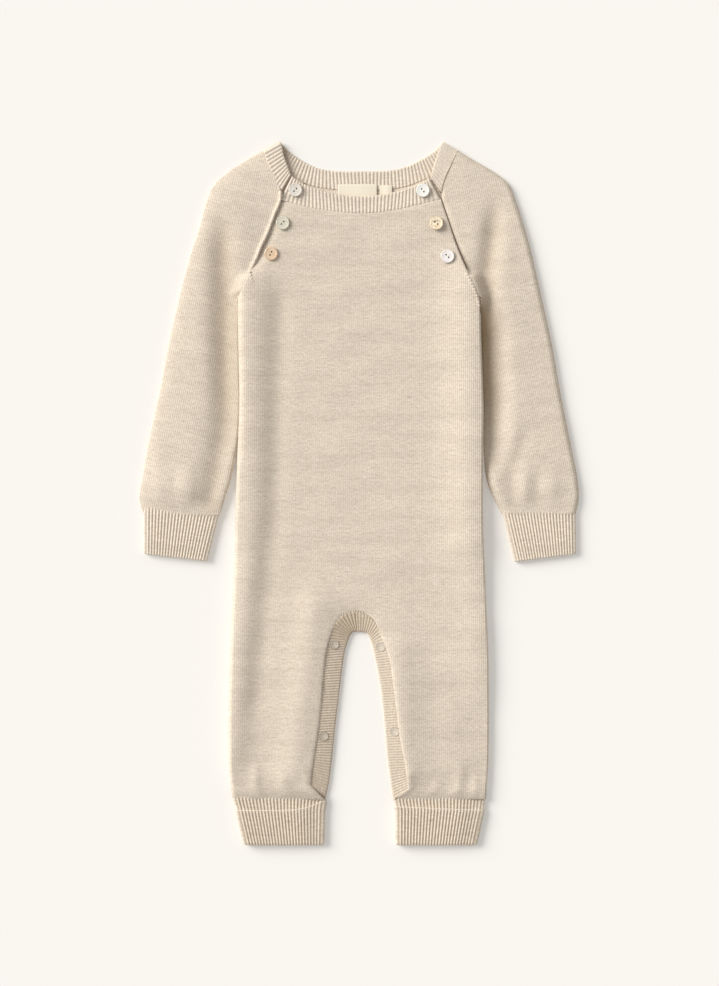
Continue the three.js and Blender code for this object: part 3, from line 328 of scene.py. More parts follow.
class Wire:
    """A value in a material. Arithmetic on wires adds Math nodes."""

    def __init__(self, finish, socket):
        self.finish = finish
        self.socket = socket

    def math(self, kind, *others):
        return self.finish.node("ShaderNodeMath", {"operation": kind}, self, *others)

    def __add__(self, other):
        return self.math("ADD", other)

    def __sub__(self, other):
        return self.math("SUBTRACT", other)

    def __mul__(self, other):
        return self.math("MULTIPLY", other)

    def __rsub__(self, other):
        return (self * -1) + other

    __radd__ = __add__
    __rmul__ = __mul__


class Finish:
    """A material under construction. node() makes any node: its type, settings and inputs in order."""

    def __init__(self, name):
        self.material = bpy.data.materials.new(name)
        self.material.use_nodes = True
        self.tree = self.material.node_tree
        self.shader = self.tree.nodes["Principled BSDF"]

    def node(self, kind, settings, *values, output=0, **named):
        made = self.tree.nodes.new(kind)
        for key, value in settings.items():
            setattr(made, key, value)
        for socket, value in [*zip(made.inputs, values), *((made.inputs[k], v) for k, v in named.items())]:
            self.feed(socket, value)
        return Wire(self, made.outputs[output])

    def feed(self, socket, value):
        if isinstance(value, Wire):
            self.tree.links.new(value.socket, socket)
        else:
            socket.default_value = value

    def knit(self):
        """Places in the knit, across and along the wales, in millimetres."""
        place = self.node("ShaderNodeUVMap", {"uv_map": "knit"})
        parts = self.node("ShaderNodeSeparateXYZ", {}, place)
        return parts, Wire(self, parts.socket.node.outputs[1])

    def noise(self, x, y, detail=2.0, roughness=0.5, seed=0.0):
        """Noise from 0 to 1 at a place whose coordinates are already divided by its grain."""
        place = self.node("ShaderNodeCombineXYZ", {}, x, y, seed)
        return self.node("ShaderNodeTexNoise", {}, Vector=place, Scale=1.0, Detail=detail,
                         Roughness=roughness)

    def band(self, value, low, high):
        """0 below low, 1 above high and an S curve between."""
        settings = {"interpolation_type": "SMOOTHSTEP"}
        return self.node("ShaderNodeMapRange", settings, value, low, high, 0.0, 1.0)

    def mix(self, share, first, second):
        """The first colour with a share of the second one."""
        made = self.tree.nodes.new("ShaderNodeMix")
        made.data_type = "RGBA"
        for socket, value in zip((made.inputs[0], made.inputs[6], made.inputs[7]), (share, first, second)):
            self.feed(socket, value)
        return Wire(self, made.outputs[2])


WOOL = (0.90, 0.79, 0.655, 1)  # sunlit yarn
WOOL_CREAM = (0.93, 0.86, 0.75, 1)
WOOL_STREAK = (0.50, 0.425, 0.35, 1)
# Brown that painted shade mixes towards in grooves, troughs, folds and other shaded places
WOOL_PAINTED_SHADE = (0.35, 0.245, 0.13, 1)


def wool(name, wale=WALE, relief=0.25, streaks=1.0, groove_shade=0.24):
    """Heathered wool in stockinette.

    A wale stands up between two grooves, and its stitches are two legs that lean apart from its middle:
    a wave across the wale, and a wave along it whose rows are bent into a V. The heather is noise
    stretched along the rows: short dark and cream streaks, single darker stitches and a slow change of
    shade.
    """
    look = Finish(name)
    x, y = look.knit()
    across = (x * (1 / wale)).math("FRACT")
    from_middle = (across - 0.5).math("ABSOLUTE")
    column = ((from_middle * (2 * np.pi)).math("COSINE") * 0.5) + 0.5
    leg = (from_middle * (2 * np.pi)).math("SINE")
    row = (y * (1 / COURSE)) - (from_middle * 1.1)
    stitch = ((row * (2 * np.pi)).math("COSINE") * 0.5) + 0.5
    height = (column * 0.6) + (leg * stitch * 0.4)
    single = look.noise(x * (1 / 1.5), y * (1 / 1.8), detail=1.0, seed=3.0)
    flecks = look.noise(x * (1 / 7.0), y * (1 / 1.5), detail=2.0, roughness=0.6, seed=7.0)
    shade = look.noise(x * (1 / 60), y * (1 / 9), detail=2.0, seed=11.0)
    dark = look.noise(x * (1 / 10), y * (1 / 1.9), detail=3.0, roughness=0.6, seed=19.0)
    light = look.noise(x * (1 / 9), y * (1 / 2.0), detail=3.0, roughness=0.6, seed=27.0)
    colour = look.mix(look.band(shade, 0.36, 0.70) * 0.20, WOOL, WOOL_STREAK)
    colour = look.mix(look.band(light, 0.46, 0.74) * (0.44 * streaks), colour, WOOL_CREAM)
    colour = look.mix(look.band(dark, 0.50, 0.76) * (0.40 * streaks), colour, WOOL_STREAK)
    colour = look.mix(look.band(single, 0.38, 0.66) * 0.32, colour, WOOL_STREAK)
    colour = look.mix(look.band(flecks, 0.40, 0.68) * 0.25, colour, WOOL_STREAK)
    # Painted shade: the grooves between the wales are painted towards the shade brown.
    colour = look.mix((1 - height) * groove_shade, colour, WOOL_PAINTED_SHADE)
    # Painted shade and highlight from the shading attribute: below 1 it paints shade towards the shade
    # brown, above 1 a painted highlight towards pale cream.
    painted_shading = look.node("ShaderNodeAttribute", {"attribute_name": "painted_shading"}, output=2)
    colour = look.mix((1 - painted_shading).math("MAXIMUM", 0.0), colour, WOOL_PAINTED_SHADE)
    colour = look.mix((painted_shading - 1.0).math("MAXIMUM", 0.0), colour, (0.97, 0.93, 0.85, 1))
    bumps = (height * relief) + (single * 0.12)
    normal = look.node("ShaderNodeBump", {}, Strength=0.7, Distance=0.001, Height=bumps)
    look.feed(look.shader.inputs["Base Color"], colour)
    look.feed(look.shader.inputs["Normal"], normal)
    look.shader.inputs["Roughness"].default_value = 0.95
    look.shader.inputs["Specular IOR Level"].default_value = 0.15
    look.shader.inputs["Sheen Weight"].default_value = 0.25
    look.shader.inputs["Sheen Roughness"].default_value = 0.45
    look.shader.inputs["Sheen Tint"].default_value = (1.0, 0.93, 0.82, 1)
    return look.material


PLAIN_KNIT = wool("heathered_wool")


def knit_area(points, faces):
    """Area of a surface in square metres."""
    a, b, c = (points[faces[:, k]] for k in range(3))
    return float(np.linalg.norm(np.cross(b - a, c - a), axis=1).sum() / 2e6)


def with_height(grid, height):
    """Points of a plan at their heights."""
    return np.concatenate([grid, height[..., None]], axis=-1)


def back_panel():
    """The back: flat on the floor, with a quarter-round curl of CURL along each side seam."""
    seam = Line([row[2:4] for row in NECKBAND_BACK[2:-2]])
    neck = seam.beside(-SEAM_GAP)
    raglan = {"right": Line(BACK_RAGLAN["right"]).beside(SEAM_GAP),
              "left": Line(BACK_RAGLAN["left"]).beside(-SEAM_GAP)}
    parts = []
    grids = body_rows(raglan, neck, BACK_STEP, 4, 18, CURL_WIDTH)
    for grid, side in zip(grids, (None, "right", "left")):
        rise = CURL * (1 - quarter_round(edge_distance(grid, side), CURL_WIDTH))
        below_underarm = smooth((180 - grid[..., 1]) / 12)
        height = rise * below_underarm
        parts.append(patch(with_height(grid, height), grid, flip=side != "left"))
    surface = joined(parts)
    made = piece("back_knit", *wall(*surface, CLOTH), PLAIN_KNIT, "wool")
    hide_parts("back_panel")
    knit_area(surface[0], surface[2])


back_panel()


# Front panel
# The same cut as the back with a lower neck. It is knitted to shape in one piece, and its raglan edges
# above the chest stay open as plackets: the right one dips under the sleeve, the left one lies over it.

FRONT_STEP = 2.0  # between the rows of the front
FRONT_TOP = 6.0  # outer face above the floor where no fold lifts it
SIDE_SEAM = 2.3  # lower edge along the side seams
SIDE_BY_SLEEVE = {"right": 4.9, "left": 2.3}  # the same beside a sleeve
SIDE_ROLL = {"right": 3.4, "left": 1.6}  # radius of the rounding at a side seam
ROLL_BY_SLEEVE = {"right": 6.0, "left": 1.6}
SLEEVE_LEAVES_BODY = 34.0
SEAM_GROOVE = 0.45  # depth of the groove at a raglan seam
PLACKET_EDGE = 5.2
PLACKET_ROLL = 1.5
PLACKET_END = 194.0  # y at which the plackets end and the seams begin
HEM_LEVEL = 5.9  # outer face at the hem, where the ribs of the cuff begin
HEM = -268.4
SEAM_DIP = 0.45  # how far a panel sinks into its seam with a band
SEAM_REACH = 2.6
TROUGH_SHADE = 0.05  # painted shade: how much darker the yarn is painted for each millimetre of a trough
RAGLAN = {
    "right": [(-59.8, 280.2), (-64.9, 269.5), (-70.2, 258.3), (-76.1, 242.9), (-81.4, 228.4),
              (-87.2, 216.0), (-91.4, 205.5), (-96.0, 194.8), (-106.9, 171.0)],
    "left": [(61.8, 278.6), (67.0, 270.4), (71.8, 258.6), (75.0, 248.4), (78.6, 238.2),
             (82.6, 226.2), (88.4, 210.8), (95.9, 193.6), (106.2, 171.0)],
}
# Front neckband from the right placket to the left one: free edge x, y and sewn edge x, y
NECKBAND_FRONT = np.array([
    (-59.3, 279.0, -69.7, 258.6), (-54.0, 275.2, -59.5, 255.8), (-46.5, 271.0, -47.5, 252.6),
    (-36.0, 267.2, -35.0, 250.1), (-21.6, 263.6, -20.5, 248.2), (-6.6, 261.5, -6.0, 247.0),
    (9.2, 261.7, 9.0, 247.0), (25.1, 263.6, 24.0, 248.6), (37.4, 266.8, 36.0, 250.8),
    (48.8, 270.6, 49.0, 253.6), (57.0, 274.4, 61.0, 256.6), (61.2, 277.6, 71.2, 258.8),
])
# Soft folds from x0, y0 to x1, y1, with their half width, rise and length of fading
FRONT_FOLDS = [
    (-98.0, 196, -97.0, -33, 15, 5.2, 40),
    (-96.0, -33, -114.0, -244, 10.5, 4.0, 50),
    (-70.0, 176, -76.0, -33, 7, -1.7, 40),
    (-77.0, -33, -92.0, -200, 7, -1.1, 40),
    (100.0, 208, 101.0, -60, 17, 6.2, 60),
    (104.0, -60, 106.0, -176, 12, 2.2, 60),
    (48.0, -140, 54.0, -262, 26, 3.2, 40),
    (-38.0, -84, -60.0, -264, 11, 2.9, 34),
    (32.0, -122, 40.0, -262, 9, 2.0, 34),
    (64.0, -130, 66.0, -264, 10, -0.9, 34),
    (-16.0, -112, 8.0, -112, 8, -1.2, 24),
]
# Gathers above the leg cuffs, in the same form
GATHERS = [
    (-91.0, -242, -92.5, -300, 3.4, 1.2, 26),
    (-67.5, -250, -68.5, -300, 3.8, 1.0, 22),
    (-47.0, -248, -46.0, -300, 3.2, 0.9, 22),
    (43.5, -246, 43.0, -300, 3.6, 1.0, 24),
    (68.0, -254, 68.0, -300, 3.0, 0.6, 16),
    (88.5, -242, 86.0, -300, 3.6, 1.1, 26),
    (102.5, -250, 100.0, -300, 2.8, 0.7, 22),
]


def folds(table, x, y):
    """Rise of all folds at a point: each is a bell across its line that fades at both of its ends."""
    total = np.zeros_like(x)
    for x0, y0, x1, y1, width, rise, fade in table:
        length = np.hypot(x1 - x0, y1 - y0)
        along = ((x - x0) * (x1 - x0) + (y - y0) * (y1 - y0)) / length
        across = ((x - x0) * (y1 - y0) - (y - y0) * (x1 - x0)) / length
        ends = smooth(along / fade + 0.5) * smooth((length - along) / fade + 0.5)
        total += rise * ends * np.exp(-0.5 * (across / width) ** 2)
    return total


def unevenness(x, y, grain_x, grain_y, seed, waves=7):
    """How knitted cloth never lies quite flat: a sum of slow waves in seeded directions, about -1 to 1."""
    draw = np.random.default_rng(seed)
    total = np.zeros_like(x)
    for _ in range(waves):
        turn, phase = draw.uniform(0, 2 * np.pi), draw.uniform(0, 2 * np.pi)
        length = draw.uniform(0.7, 1.5)
        phases = (x / grain_x * np.cos(turn) + y / grain_y * np.sin(turn)) / length
        total += np.sin(2 * np.pi * phases + phase)
    return total / waves


def front_top(x, y):
    """Height of the front panel away from its edges."""
    large = FRONT_TOP + folds(FRONT_FOLDS, x, y) + 0.5 * unevenness(x, y, 60, 34, seed=5)
    above_hem = smooth((y - HEM) / 22)
    return HEM_LEVEL + (large - HEM_LEVEL) * above_hem + folds(GATHERS, x, y) * smooth((y - HEM + 3) / 8)


def near(grid, line, samples=160):
    """Distance in plan from each point of a grid to a line."""
    marks = line.along(np.linspace(0, 1, samples))
    a, ahead = marks[:-1], np.diff(marks, axis=0)
    offset = grid[..., None, :] - a
    along = np.clip((offset * ahead).sum(-1) / (ahead**2).sum(-1), 0, 1)
    return np.linalg.norm(offset - along[..., None] * ahead, axis=-1).min(axis=-1)


def leg_seam(side):
    """Edge of a panel along its leg band."""
    rows = np.array(LEG_BANDS[side])
    return Line(beyond_seam(rows[:, :2], rows[:, 2:4], SEAM_GAP))


def front_panel():
    """The front: the height of its folds, rounded down to each edge by a quarter circle."""
    neck = Line(NECKBAND_FRONT[:, 2:]).beside(-SEAM_GAP)
    raglan = {side: Line(RAGLAN[side][2:]) for side in RAGLAN}
    parts = []
    grids = body_rows(raglan, neck, FRONT_STEP, 7, 54, SIDE_ROLL["right"])
    for grid, leg in zip(grids, (None, "right", "left")):
        x, y = grid[..., 0], grid[..., 1]
        top = front_top(x, y)
        height = top.copy()
        for side in ("right", "left"):
            if leg in (None, side):
                yoke = smooth((y - UNDERARM + 3) / 12)
                beside = smooth((y - SLEEVE_LEAVES_BODY + 16) / 24)
                closed = yoke * smooth((PLACKET_END - y + 6) / 12)
                edge = SIDE_SEAM + (SIDE_BY_SLEEVE[side] - SIDE_SEAM) * beside
                edge = edge + (PLACKET_EDGE - edge) * yoke
                edge = edge + (top - SEAM_GROOVE - edge) * closed
                roll = SIDE_ROLL[side] + (ROLL_BY_SLEEVE[side] - SIDE_ROLL[side]) * beside
                roll = roll + (PLACKET_ROLL - roll) * yoke
                to_side = np.minimum(near(grid, side_line(side)), near(grid, raglan[side]))
                height -= (top - edge) * (1 - quarter_round(to_side, roll))
                height -= SEAM_DIP * (1 - smooth(near(grid, leg_seam(side)) / SEAM_REACH))
                if side == "right":
                    open_above = smooth((y - PLACKET_END + 6) / 12)
                    height -= 1.8 * open_above * np.exp(-(to_side / 6.0) ** 2)
        height -= SEAM_DIP * (1 - smooth(near(grid, neck) / SEAM_REACH)) * (y > UNDERARM)
        # Painted shade in the troughs of the folds.
        painted_shading = 1 - TROUGH_SHADE * np.maximum(-folds(FRONT_FOLDS, x, y), 0)
        parts.append(patch(with_height(grid, height), grid, painted_shading, flip=leg == "left"))
    surface = joined(parts)
    made = piece("front_knit", *wall(*surface, CLOTH), PLAIN_KNIT, "wool")
    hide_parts("front_panel")
    knit_area(surface[0], surface[2])


front_panel()


# Sleeves
# Raglan sleeves, knitted in one piece and folded at the outer edge. Each lies flat beside the body: the
# right one falls into a trough and rises to the side seam, the left one sinks beside it. Above the chest
# the right sleeve ends in a rolled edge over the placket.

SLEEVE_TOP = 6.0  # outer face beside the neckband, the raglan and the cuff
SLEEVE_CROWN = 2.4  # how much higher it stands along the middle of the arm
SLEEVE_FALL = {"right": 0.0, "left": 2.2}  # how much lower it lies at the outer fold
OUTER_ROLL = {"right": 44.0, "left": 5.0}  # the right sleeve rounds off slowly towards its outer fold
# Radius at the inner fold beside the body and below it
INNER_ROLL = (2.6, 9.0)
VALLEY_WIDTH = 31.0  # width of the slope up from the body on the left sleeve
SEAM_EASE = 12.0  # over which the sleeve takes up the height of the front at a raglan seam
UNDERARM_EASE = {"right": 0.0, "left": 36.0}  # how far below the underarm its inner edge still sinks
SLEEVE_HEM_LEVEL = 5.5
VALLEY_SHADE = {"right": 0.17, "left": 0.60}  # painted shade in the fold between sleeve and body
OUTER_SHARE = 0.34  # height of the outer fold's middle, as a share of the sleeve's
LOWER_ROLL = 3.0
INNER_EDGE = {"right": 4.4, "left": 1.9}  # height of the inner fold's middle
SLEEVE_BODY_GAP = {"right": -0.7, "left": 0.3}
PLACKET_GAP = {"right": -1.7, "left": 0.9}
UNDERARM_SHARE = 0.374
SLEEVE_STEP = 2.0
SLEEVE_OUTER = {
    "right": [(-85.2, 301.5), (-99.6, 293.2), (-115.7, 282.5), (-127.2, 272.4), (-134.9, 256.1),
              (-140.4, 235.0), (-147.4, 213.8), (-158.8, 171.6), (-168.5, 127.6), (-175.6, 90.6),
              (-185.9, 43.1), (-191.4, 11.4), (-194.0, -4.4), (-190.3, -18.6)],
    "left": [(87.2, 301.4), (101.0, 293.0), (118.4, 282.8), (131.6, 271.9), (138.2, 256.1),
             (145.0, 235.0), (151.0, 213.8), (160.6, 171.6), (170.2, 127.6), (176.6, 90.6),
             (186.1, 43.1), (192.2, 11.4), (193.4, -4.4), (190.6, -18.6)],
}
SLEEVE_INNER = {
    "right": [(-112.6, 14.0), (-117.6, -2.0), (-123.4, -20.2)],
    "left": [(112.4, 10.0), (118.0, -4.0), (125.4, -18.2)],
}
NECK_CORNER = {"right": (-69.0, 264.6), "left": (72.0, 266.4)}
# Back neckband where it runs over a sleeve head: free edge x, y and sewn edge x, y
NECKBAND_OVER_SLEEVE = {
    "right": [(-60.4, 279.9, -69.6, 263.4), (-63.4, 288.4, -74.4, 278.2), (-66.6, 297.6, -79.6, 289.4),
              (-68.4, 307.3, -83.2, 299.0)],
    "left": [(62.5, 278.6, 71.9, 264.6), (65.2, 287.8, 75.8, 278.4), (68.3, 297.4, 80.9, 289.2),
             (71.9, 307.2, 85.2, 299.2)],
}
SLEEVE_FOLDS = {
    "right": [(-121.0, 232, -117.5, 60, 8.0, -5.4, 50), (-118.0, 60, -134.0, -24, 7.5, -3.2, 40),
              (-177.0, 40, -176.5, -40, 5.0, 0.9, 30),
              (-149.0, 24, -150.0, -40, 4.0, 0.7, 26), (-131.5, 0, -134.0, -40, 3.6, -0.6, 26),
              (-163.0, 16, -164.0, -40, 3.0, -0.7, 20), (-157.0, 18, -157.0, -60, 12.0, 2.2, 36)],
    "left": [(119.0, 246, 106.0, 130, 6.5, -4.4, 50), (116.5, 160, 115.5, 60, 8.5, -3.6, 56),
             (146.0, 52, 129.0, 4, 5, -1.3, 34),
             (145.5, 18, 146.5, -40, 3.0, 0.9, 24), (134.0, 14, 137.0, -40, 3.0, -0.8, 22),
             (156.5, 16, 158.0, -40, 3.2, -0.9, 22), (169.5, 20, 172.0, -40, 4.0, 0.8, 26)],
}


def sleeve_inner(side):
    """Inner fold of a sleeve: beside the side seam, then free of it down to the cuff."""
    beside = [(x + OUTWARD[side] * SLEEVE_BODY_GAP[side], y)
              for y, *ends in SIDES.tolist() if y > SLEEVE_LEAVES_BODY
              for x in [ends[0 if side == "right" else 1]]]
    leaves = (float(side_seam(SLEEVE_LEAVES_BODY, side)) + OUTWARD[side] * 0.8, SLEEVE_LEAVES_BODY)
    return Line([*beside, leaves, *SLEEVE_INNER[side]])


def fold_columns(width, outer_roll, inner_roll, rolled, plain):
    """Distances across a layer: close together at both folds and even between them."""
    start = outer_roll * (1 - np.cos(np.linspace(0, np.pi / 2, rolled, endpoint=False)))
    end = inner_roll * (1 - np.cos(np.linspace(np.pi / 2, 0, rolled)))[1:]
    between = np.linspace(0, 1, plain)
    middle = outer_roll + (width[:, None] - outer_roll - inner_roll) * between
    ones = np.ones((len(width), 1))
    return np.hstack([ones * start, middle, width[:, None] - ones * end])


def sleeve_plan(side, below):
    """Plan of one layer: a patch between the neck edge, the cuff, the outer fold and the inner edge.

    A patch is the sum of two straight blends, across and along, less the blend of its four corners.
    """
    outer, inner = Line(SLEEVE_OUTER[side]), sleeve_inner(side)
    if below:
        rows = np.array(NECKBAND_BACK[:3] if side == "right" else NECKBAND_BACK[:-4:-1])
        neck = [outer.along(0), *beyond_seam(rows[:, :2], rows[:, 2:], SEAM_GAP)]
        raglan = [(x + OUTWARD[side] * SEAM_GAP, y) for x, y in BACK_RAGLAN[side][1:-1]]
    else:
        rows = np.array(NECKBAND_OVER_SLEEVE[side][:0:-1])
        neck = [outer.along(0), *beyond_seam(rows[:, :2], rows[:, 2:], SEAM_GAP), NECK_CORNER[side]]
        raglan = [(x + OUTWARD[side] * PLACKET_GAP[side] * float(smooth((y - PLACKET_END + 8) / 14)
                                                                   if y < PLACKET_END + 6 else 1), y)
                  for x, y in RAGLAN[side][2:-1]]
    raglan = Line([neck[-1], *raglan, inner.along(0)])
    neck = Line(neck)
    steps = int(outer.length * UNDERARM_SHARE / SLEEVE_STEP)
    arm_steps = int(outer.length * (1 - UNDERARM_SHARE) / SLEEVE_STEP)
    v = np.append(np.linspace(0, UNDERARM_SHARE, steps, endpoint=False),
                  np.linspace(UNDERARM_SHARE, 1, arm_steps))[:, None]
    in_yoke = v <= UNDERARM_SHARE
    own = np.where(in_yoke[..., None], raglan.along(np.minimum(v / UNDERARM_SHARE, 1)),
                   inner.along(np.maximum((v - UNDERARM_SHARE) / (1 - UNDERARM_SHARE), 0)))
    away = outer.along(v)
    width = np.linalg.norm(own - away, axis=-1)[:, 0]
    if below:
        across = fold_columns(width, LOWER_ROLL, LOWER_ROLL, 4, 9)
    else:
        across = fold_columns(width, OUTER_ROLL[side], INNER_ROLL[0], 22, 34)
    u = across / width[:, None]
    v, u3 = v[..., None], u[..., None]
    hem = outer.along(1) * (1 - u3) + inner.along(1) * u3
    corners = (neck.along(0) * (1 - u3) + neck.along(1) * u3) * (1 - v) + hem * v
    return (neck.along(u) * (1 - v) + hem * v + away * (1 - u3) + own * u3 - corners,
            across, width[:, None] - across, v[..., 0])


def sleeve(side):
    """A sleeve as a flat tube: full height between two folds that round down to their middles."""
    outer = Line(SLEEVE_OUTER[side])
    length = outer.length
    hem = (outer.along(1) + sleeve_inner(side).along(1)) / 2
    axis = hem - (np.array(SLEEVE_OUTER[side][3]) + np.array(NECK_CORNER[side])) / 2
    axis /= np.linalg.norm(axis)
    parts = []
    for below in (False, True):
        plan, from_outer, from_inner, v = sleeve_plan(side, below)
        x, y = plan[..., 0], plan[..., 1]
        knit = np.stack([x * axis[1] - y * axis[0], x * axis[0] + y * axis[1]], axis=-1) * -1
        arm = smooth((v - UNDERARM_SHARE) * length / 40)
        crown = SLEEVE_CROWN * smooth(v / 0.3)
        crown = crown * (1 - (1 - arm) * np.exp(-(from_inner / 16) ** 2))
        top = SLEEVE_TOP + crown + folds(SLEEVE_FOLDS[side], x, y)
        top += 0.5 * unevenness(x, y, 40, 46, seed=23)
        top -= SLEEVE_FALL[side] * smooth(v / 0.2) * from_inner / (from_inner + from_outer)
        top = SLEEVE_HEM_LEVEL + (top - SLEEVE_HEM_LEVEL) * smooth((1 - v) * length / 26)
        placket = smooth((y - PLACKET_END + 4) / 10)
        above = smooth((y - UNDERARM + 2 + UNDERARM_EASE[side]) / (10 + UNDERARM_EASE[side]))
        closed = above * (1 - placket)
        edge = INNER_EDGE[side] + (PLACKET_EDGE - INNER_EDGE[side]) * above
        edge = edge + (front_top(x, y) - SEAM_GROOVE - edge) * closed
        by_body = smooth((UNDERARM + 6 - y) / 20) * smooth((y - SLEEVE_LEAVES_BODY + 24) / 30)
        # Painted shade: the fold between sleeve and body, the troughs of the folds and the outer fold are
        # painted darker.
        painted_valley_shade = VALLEY_SHADE[side] * (0.3 + 0.7 * smooth((y - 24) / 90))
        painted_shading = 1 - painted_valley_shade * np.exp(-(from_inner / 11) ** 2) * by_body
        painted_shading -= TROUGH_SHADE * np.maximum(-folds(SLEEVE_FOLDS[side], x, y), 0)
        painted_shading -= 0.16 * np.exp(-(from_outer / 1.3) ** 2)
        if below:
            height = OUTER_SHARE * top * (1 - quarter_round(from_outer, LOWER_ROLL))
            folded = smooth((v - UNDERARM_SHARE * 0.9) / (UNDERARM_SHARE * 0.1))
            height += folded * edge * (1 - quarter_round(from_inner, LOWER_ROLL))
        else:
            free = smooth((SLEEVE_LEAVES_BODY + 14 - y) / 34)
            inner_roll = INNER_ROLL[0] + (INNER_ROLL[1] - INNER_ROLL[0]) * free
            inner_roll = inner_roll + (PLACKET_ROLL - inner_roll) * placket
            rounded = 1 - quarter_round(from_inner, inner_roll)
            if side == "left":
                rounded += (1 - smooth(from_inner / VALLEY_WIDTH) - rounded) * by_body
            rounded += (1 - smooth(from_inner / SEAM_EASE) - rounded) * closed
            height = top * (OUTER_SHARE + (1 - OUTER_SHARE) * quarter_round(from_outer, OUTER_ROLL[side]))
            height -= (top - edge) * rounded
            if side == "right":
                height += placket * 1.5 * np.exp(-((from_inner - 1.4) / 2.0) ** 2)
            else:
                height -= placket * 1.1 * np.exp(-(from_inner / 3.0) ** 2)
        parts.append(patch(with_height(plan, height), knit, painted_shading, flip=(side == "left") != below))
    surface = joined(parts)
    made = piece(f"sleeve_knit_{side}", *wall(*surface, CLOTH), PLAIN_KNIT, "wool")
    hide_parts(f"sleeve_{side}")
    knit_area(surface[0], surface[2])


for side in OUTWARD:
    sleeve(side)


# Ribbed bands
# The neckband and the bands of the inner-leg opening: one plain stitch, one purl stitch. A band is
# linked to its panel at one edge and rounded at the other.

RIB_CLOTH = 1.3
RIB_RISE = 0.5
BAND_TOP = 5.1  # middle of a band on the upper side
BAND_BOTTOM = RIB_CLOTH / 2  # middle of a band on the floor
NECK_RIB_PITCH = 3.2
LEG_RIB_PITCH = 2.35
STEPS_PER_RIB = 8
LEG_BAND_HEIGHTS = {"right": (2.3, 5.1), "left": (2.6, 4.9)}  # middles at the free and sewn edges
LEG_BAND_RIBS = {"right": 1.0, "left": 0.6}  # how high the ribs stand, as a share of full ribs
LEG_BAND_GROOVE_SHADE = {"right": 0.24, "left": 0.08}  # painted shade between them
LEG_BAND_SHADE = {"right": 0.20, "left": 0.18}  # painted shade along the whole band
BAND_NOSE = 1.0  # radius of a band's free edge
BAND_GROOVE_SHADE = 0.13  # painted shade between the ribs of the other bands
TUCK = 0.9  # how far a band runs on under its panel
SHOULDER_SHADE = 0.5  # painted shade on the back neckband where it comes out from under the right shoulder


def stations(rows, pitch, free_height, sewn_height):
    """Evenly spaced sections along a band: free and sewn ends, and the distance along its middle."""
    rows = np.asarray(rows, float)
    middle = Line((rows[:, :2] + rows[:, 2:4]) / 2)
    count = max(2, round(middle.length / pitch)) * STEPS_PER_RIB
    along = np.linspace(0, middle.length, count + 1)
    row = np.interp(along, middle.run, middle.row)
    ends = []
    for columns, height in ((slice(0, 2), free_height), (slice(2, 4), sewn_height)):
        plan = Line(rows[:, columns]).at(row)
        ends.append(np.column_stack([plan, np.full(len(plan), height)]))
    return ends[0], ends[1], along


def facing_out(points, painted_shading, faces, uv):
    """A closed surface with its faces turned outwards, so that the volume they enclose is positive."""
    a, b, c = (points[faces[:, k]] for k in range(3))
    if (a * np.cross(b, c)).sum() < 0:
        faces, uv = faces[:, ::-1], uv[:, ::-1]
    return points, painted_shading, faces, uv


def band(name, free, sewn, up, along, pitch, material, node, outer=1.0, inner=0.0, columns=18,
         groove=BAND_GROOVE_SHADE, shade=0.0):
    """A ribbed band: a flat bag whose two faces stand off the line from its free to its sewn edge.

    A face's distance is half the cloth plus the rib's rise, times quarter circles at the edges and at
    the ends of the band, so that the two faces meet there. A rib's section is the root of a cosine hump.
    """
    across = sewn - free
    width = np.linalg.norm(across, axis=1)
    across /= width[:, None]
    sewn = sewn + across * TUCK
    width = width + TUCK
    u = np.linspace(0, 1, columns)
    u = (1 - np.cos(np.pi * u)) / 2 * 0.5 + u * 0.5
    s = u * width[:, None]
    ribs = np.cos(2 * np.pi * along / pitch) * -0.5 + 0.5
    crest = ribs[:, None] ** 0.7 * smooth((s - 0.2) / 1.2)
    closing = np.minimum(quarter_round(s, BAND_NOSE), quarter_round(width[:, None] - s, 0.5))
    ends = np.minimum(along, along[-1] - along)[:, None]
    closing = closing * quarter_round(ends, 0.6)
    knit = np.stack([along[:, None] + 0 * s, s], axis=-1)
    parts = []
    for way, share in ((1, outer), (-1, inner)):
        share = np.broadcast_to(share, along.shape)[:, None]
        rise = closing * (RIB_CLOTH / 2 + RIB_RISE * (crest - 0.35) * share)
        points = free[:, None] + s[..., None] * across[:, None] + way * rise[..., None] * up[:, None]
        # Painted shade between the ribs, and painted shade along the band.
        painted_shading = 1 - groove * share * (1 - crest) ** 1.6 - np.broadcast_to(shade, along.shape)[:, None]
        parts.append(patch(points, knit, painted_shading, flip=way > 0))
    made = piece(name, *facing_out(*joined(parts)), material, "rib_wool")
    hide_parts(node)


NECK_RIB = wool("neck_rib_wool", wale=NECK_RIB_PITCH, relief=0.24, streaks=0.8, groove_shade=0.09)
LEG_RIB = wool("leg_rib_wool", wale=LEG_RIB_PITCH, relief=0.15, streaks=0.9, groove_shade=0.10)


def straight_up(count, way=1.0):
    return np.tile((0.0, 0.0, way), (count, 1))


def neckband_front():
    free, sewn, along = stations(NECKBAND_FRONT, NECK_RIB_PITCH, BAND_TOP, BAND_TOP)
    band("neckband_front_rib", free, sewn, straight_up(len(along)), along, NECK_RIB_PITCH, NECK_RIB,
         "neckband_front")


def shoulder_turn(row):
    """The back neckband's turn over a shoulder: half a circle from the upper side to the floor."""
    row = np.asarray(row, float)
    across = row[2:] - row[:2]
    away = np.array([-across[1], across[0]])
    away *= np.sign(away[1]) / np.linalg.norm(away)
    radius = (BAND_TOP - BAND_BOTTOM) / 2
    angle = np.linspace(0, np.pi, 2 * STEPS_PER_RIB + 1)[1:-1, None]
    shift = np.hstack([away * radius * np.sin(angle), BAND_BOTTOM + radius * (1 + np.cos(angle))])
    up = np.hstack([away * np.sin(angle), np.cos(angle)])
    free, sewn = (np.append(end, 0.0) + shift for end in (row[:2], row[2:]))
    return free, sewn, up


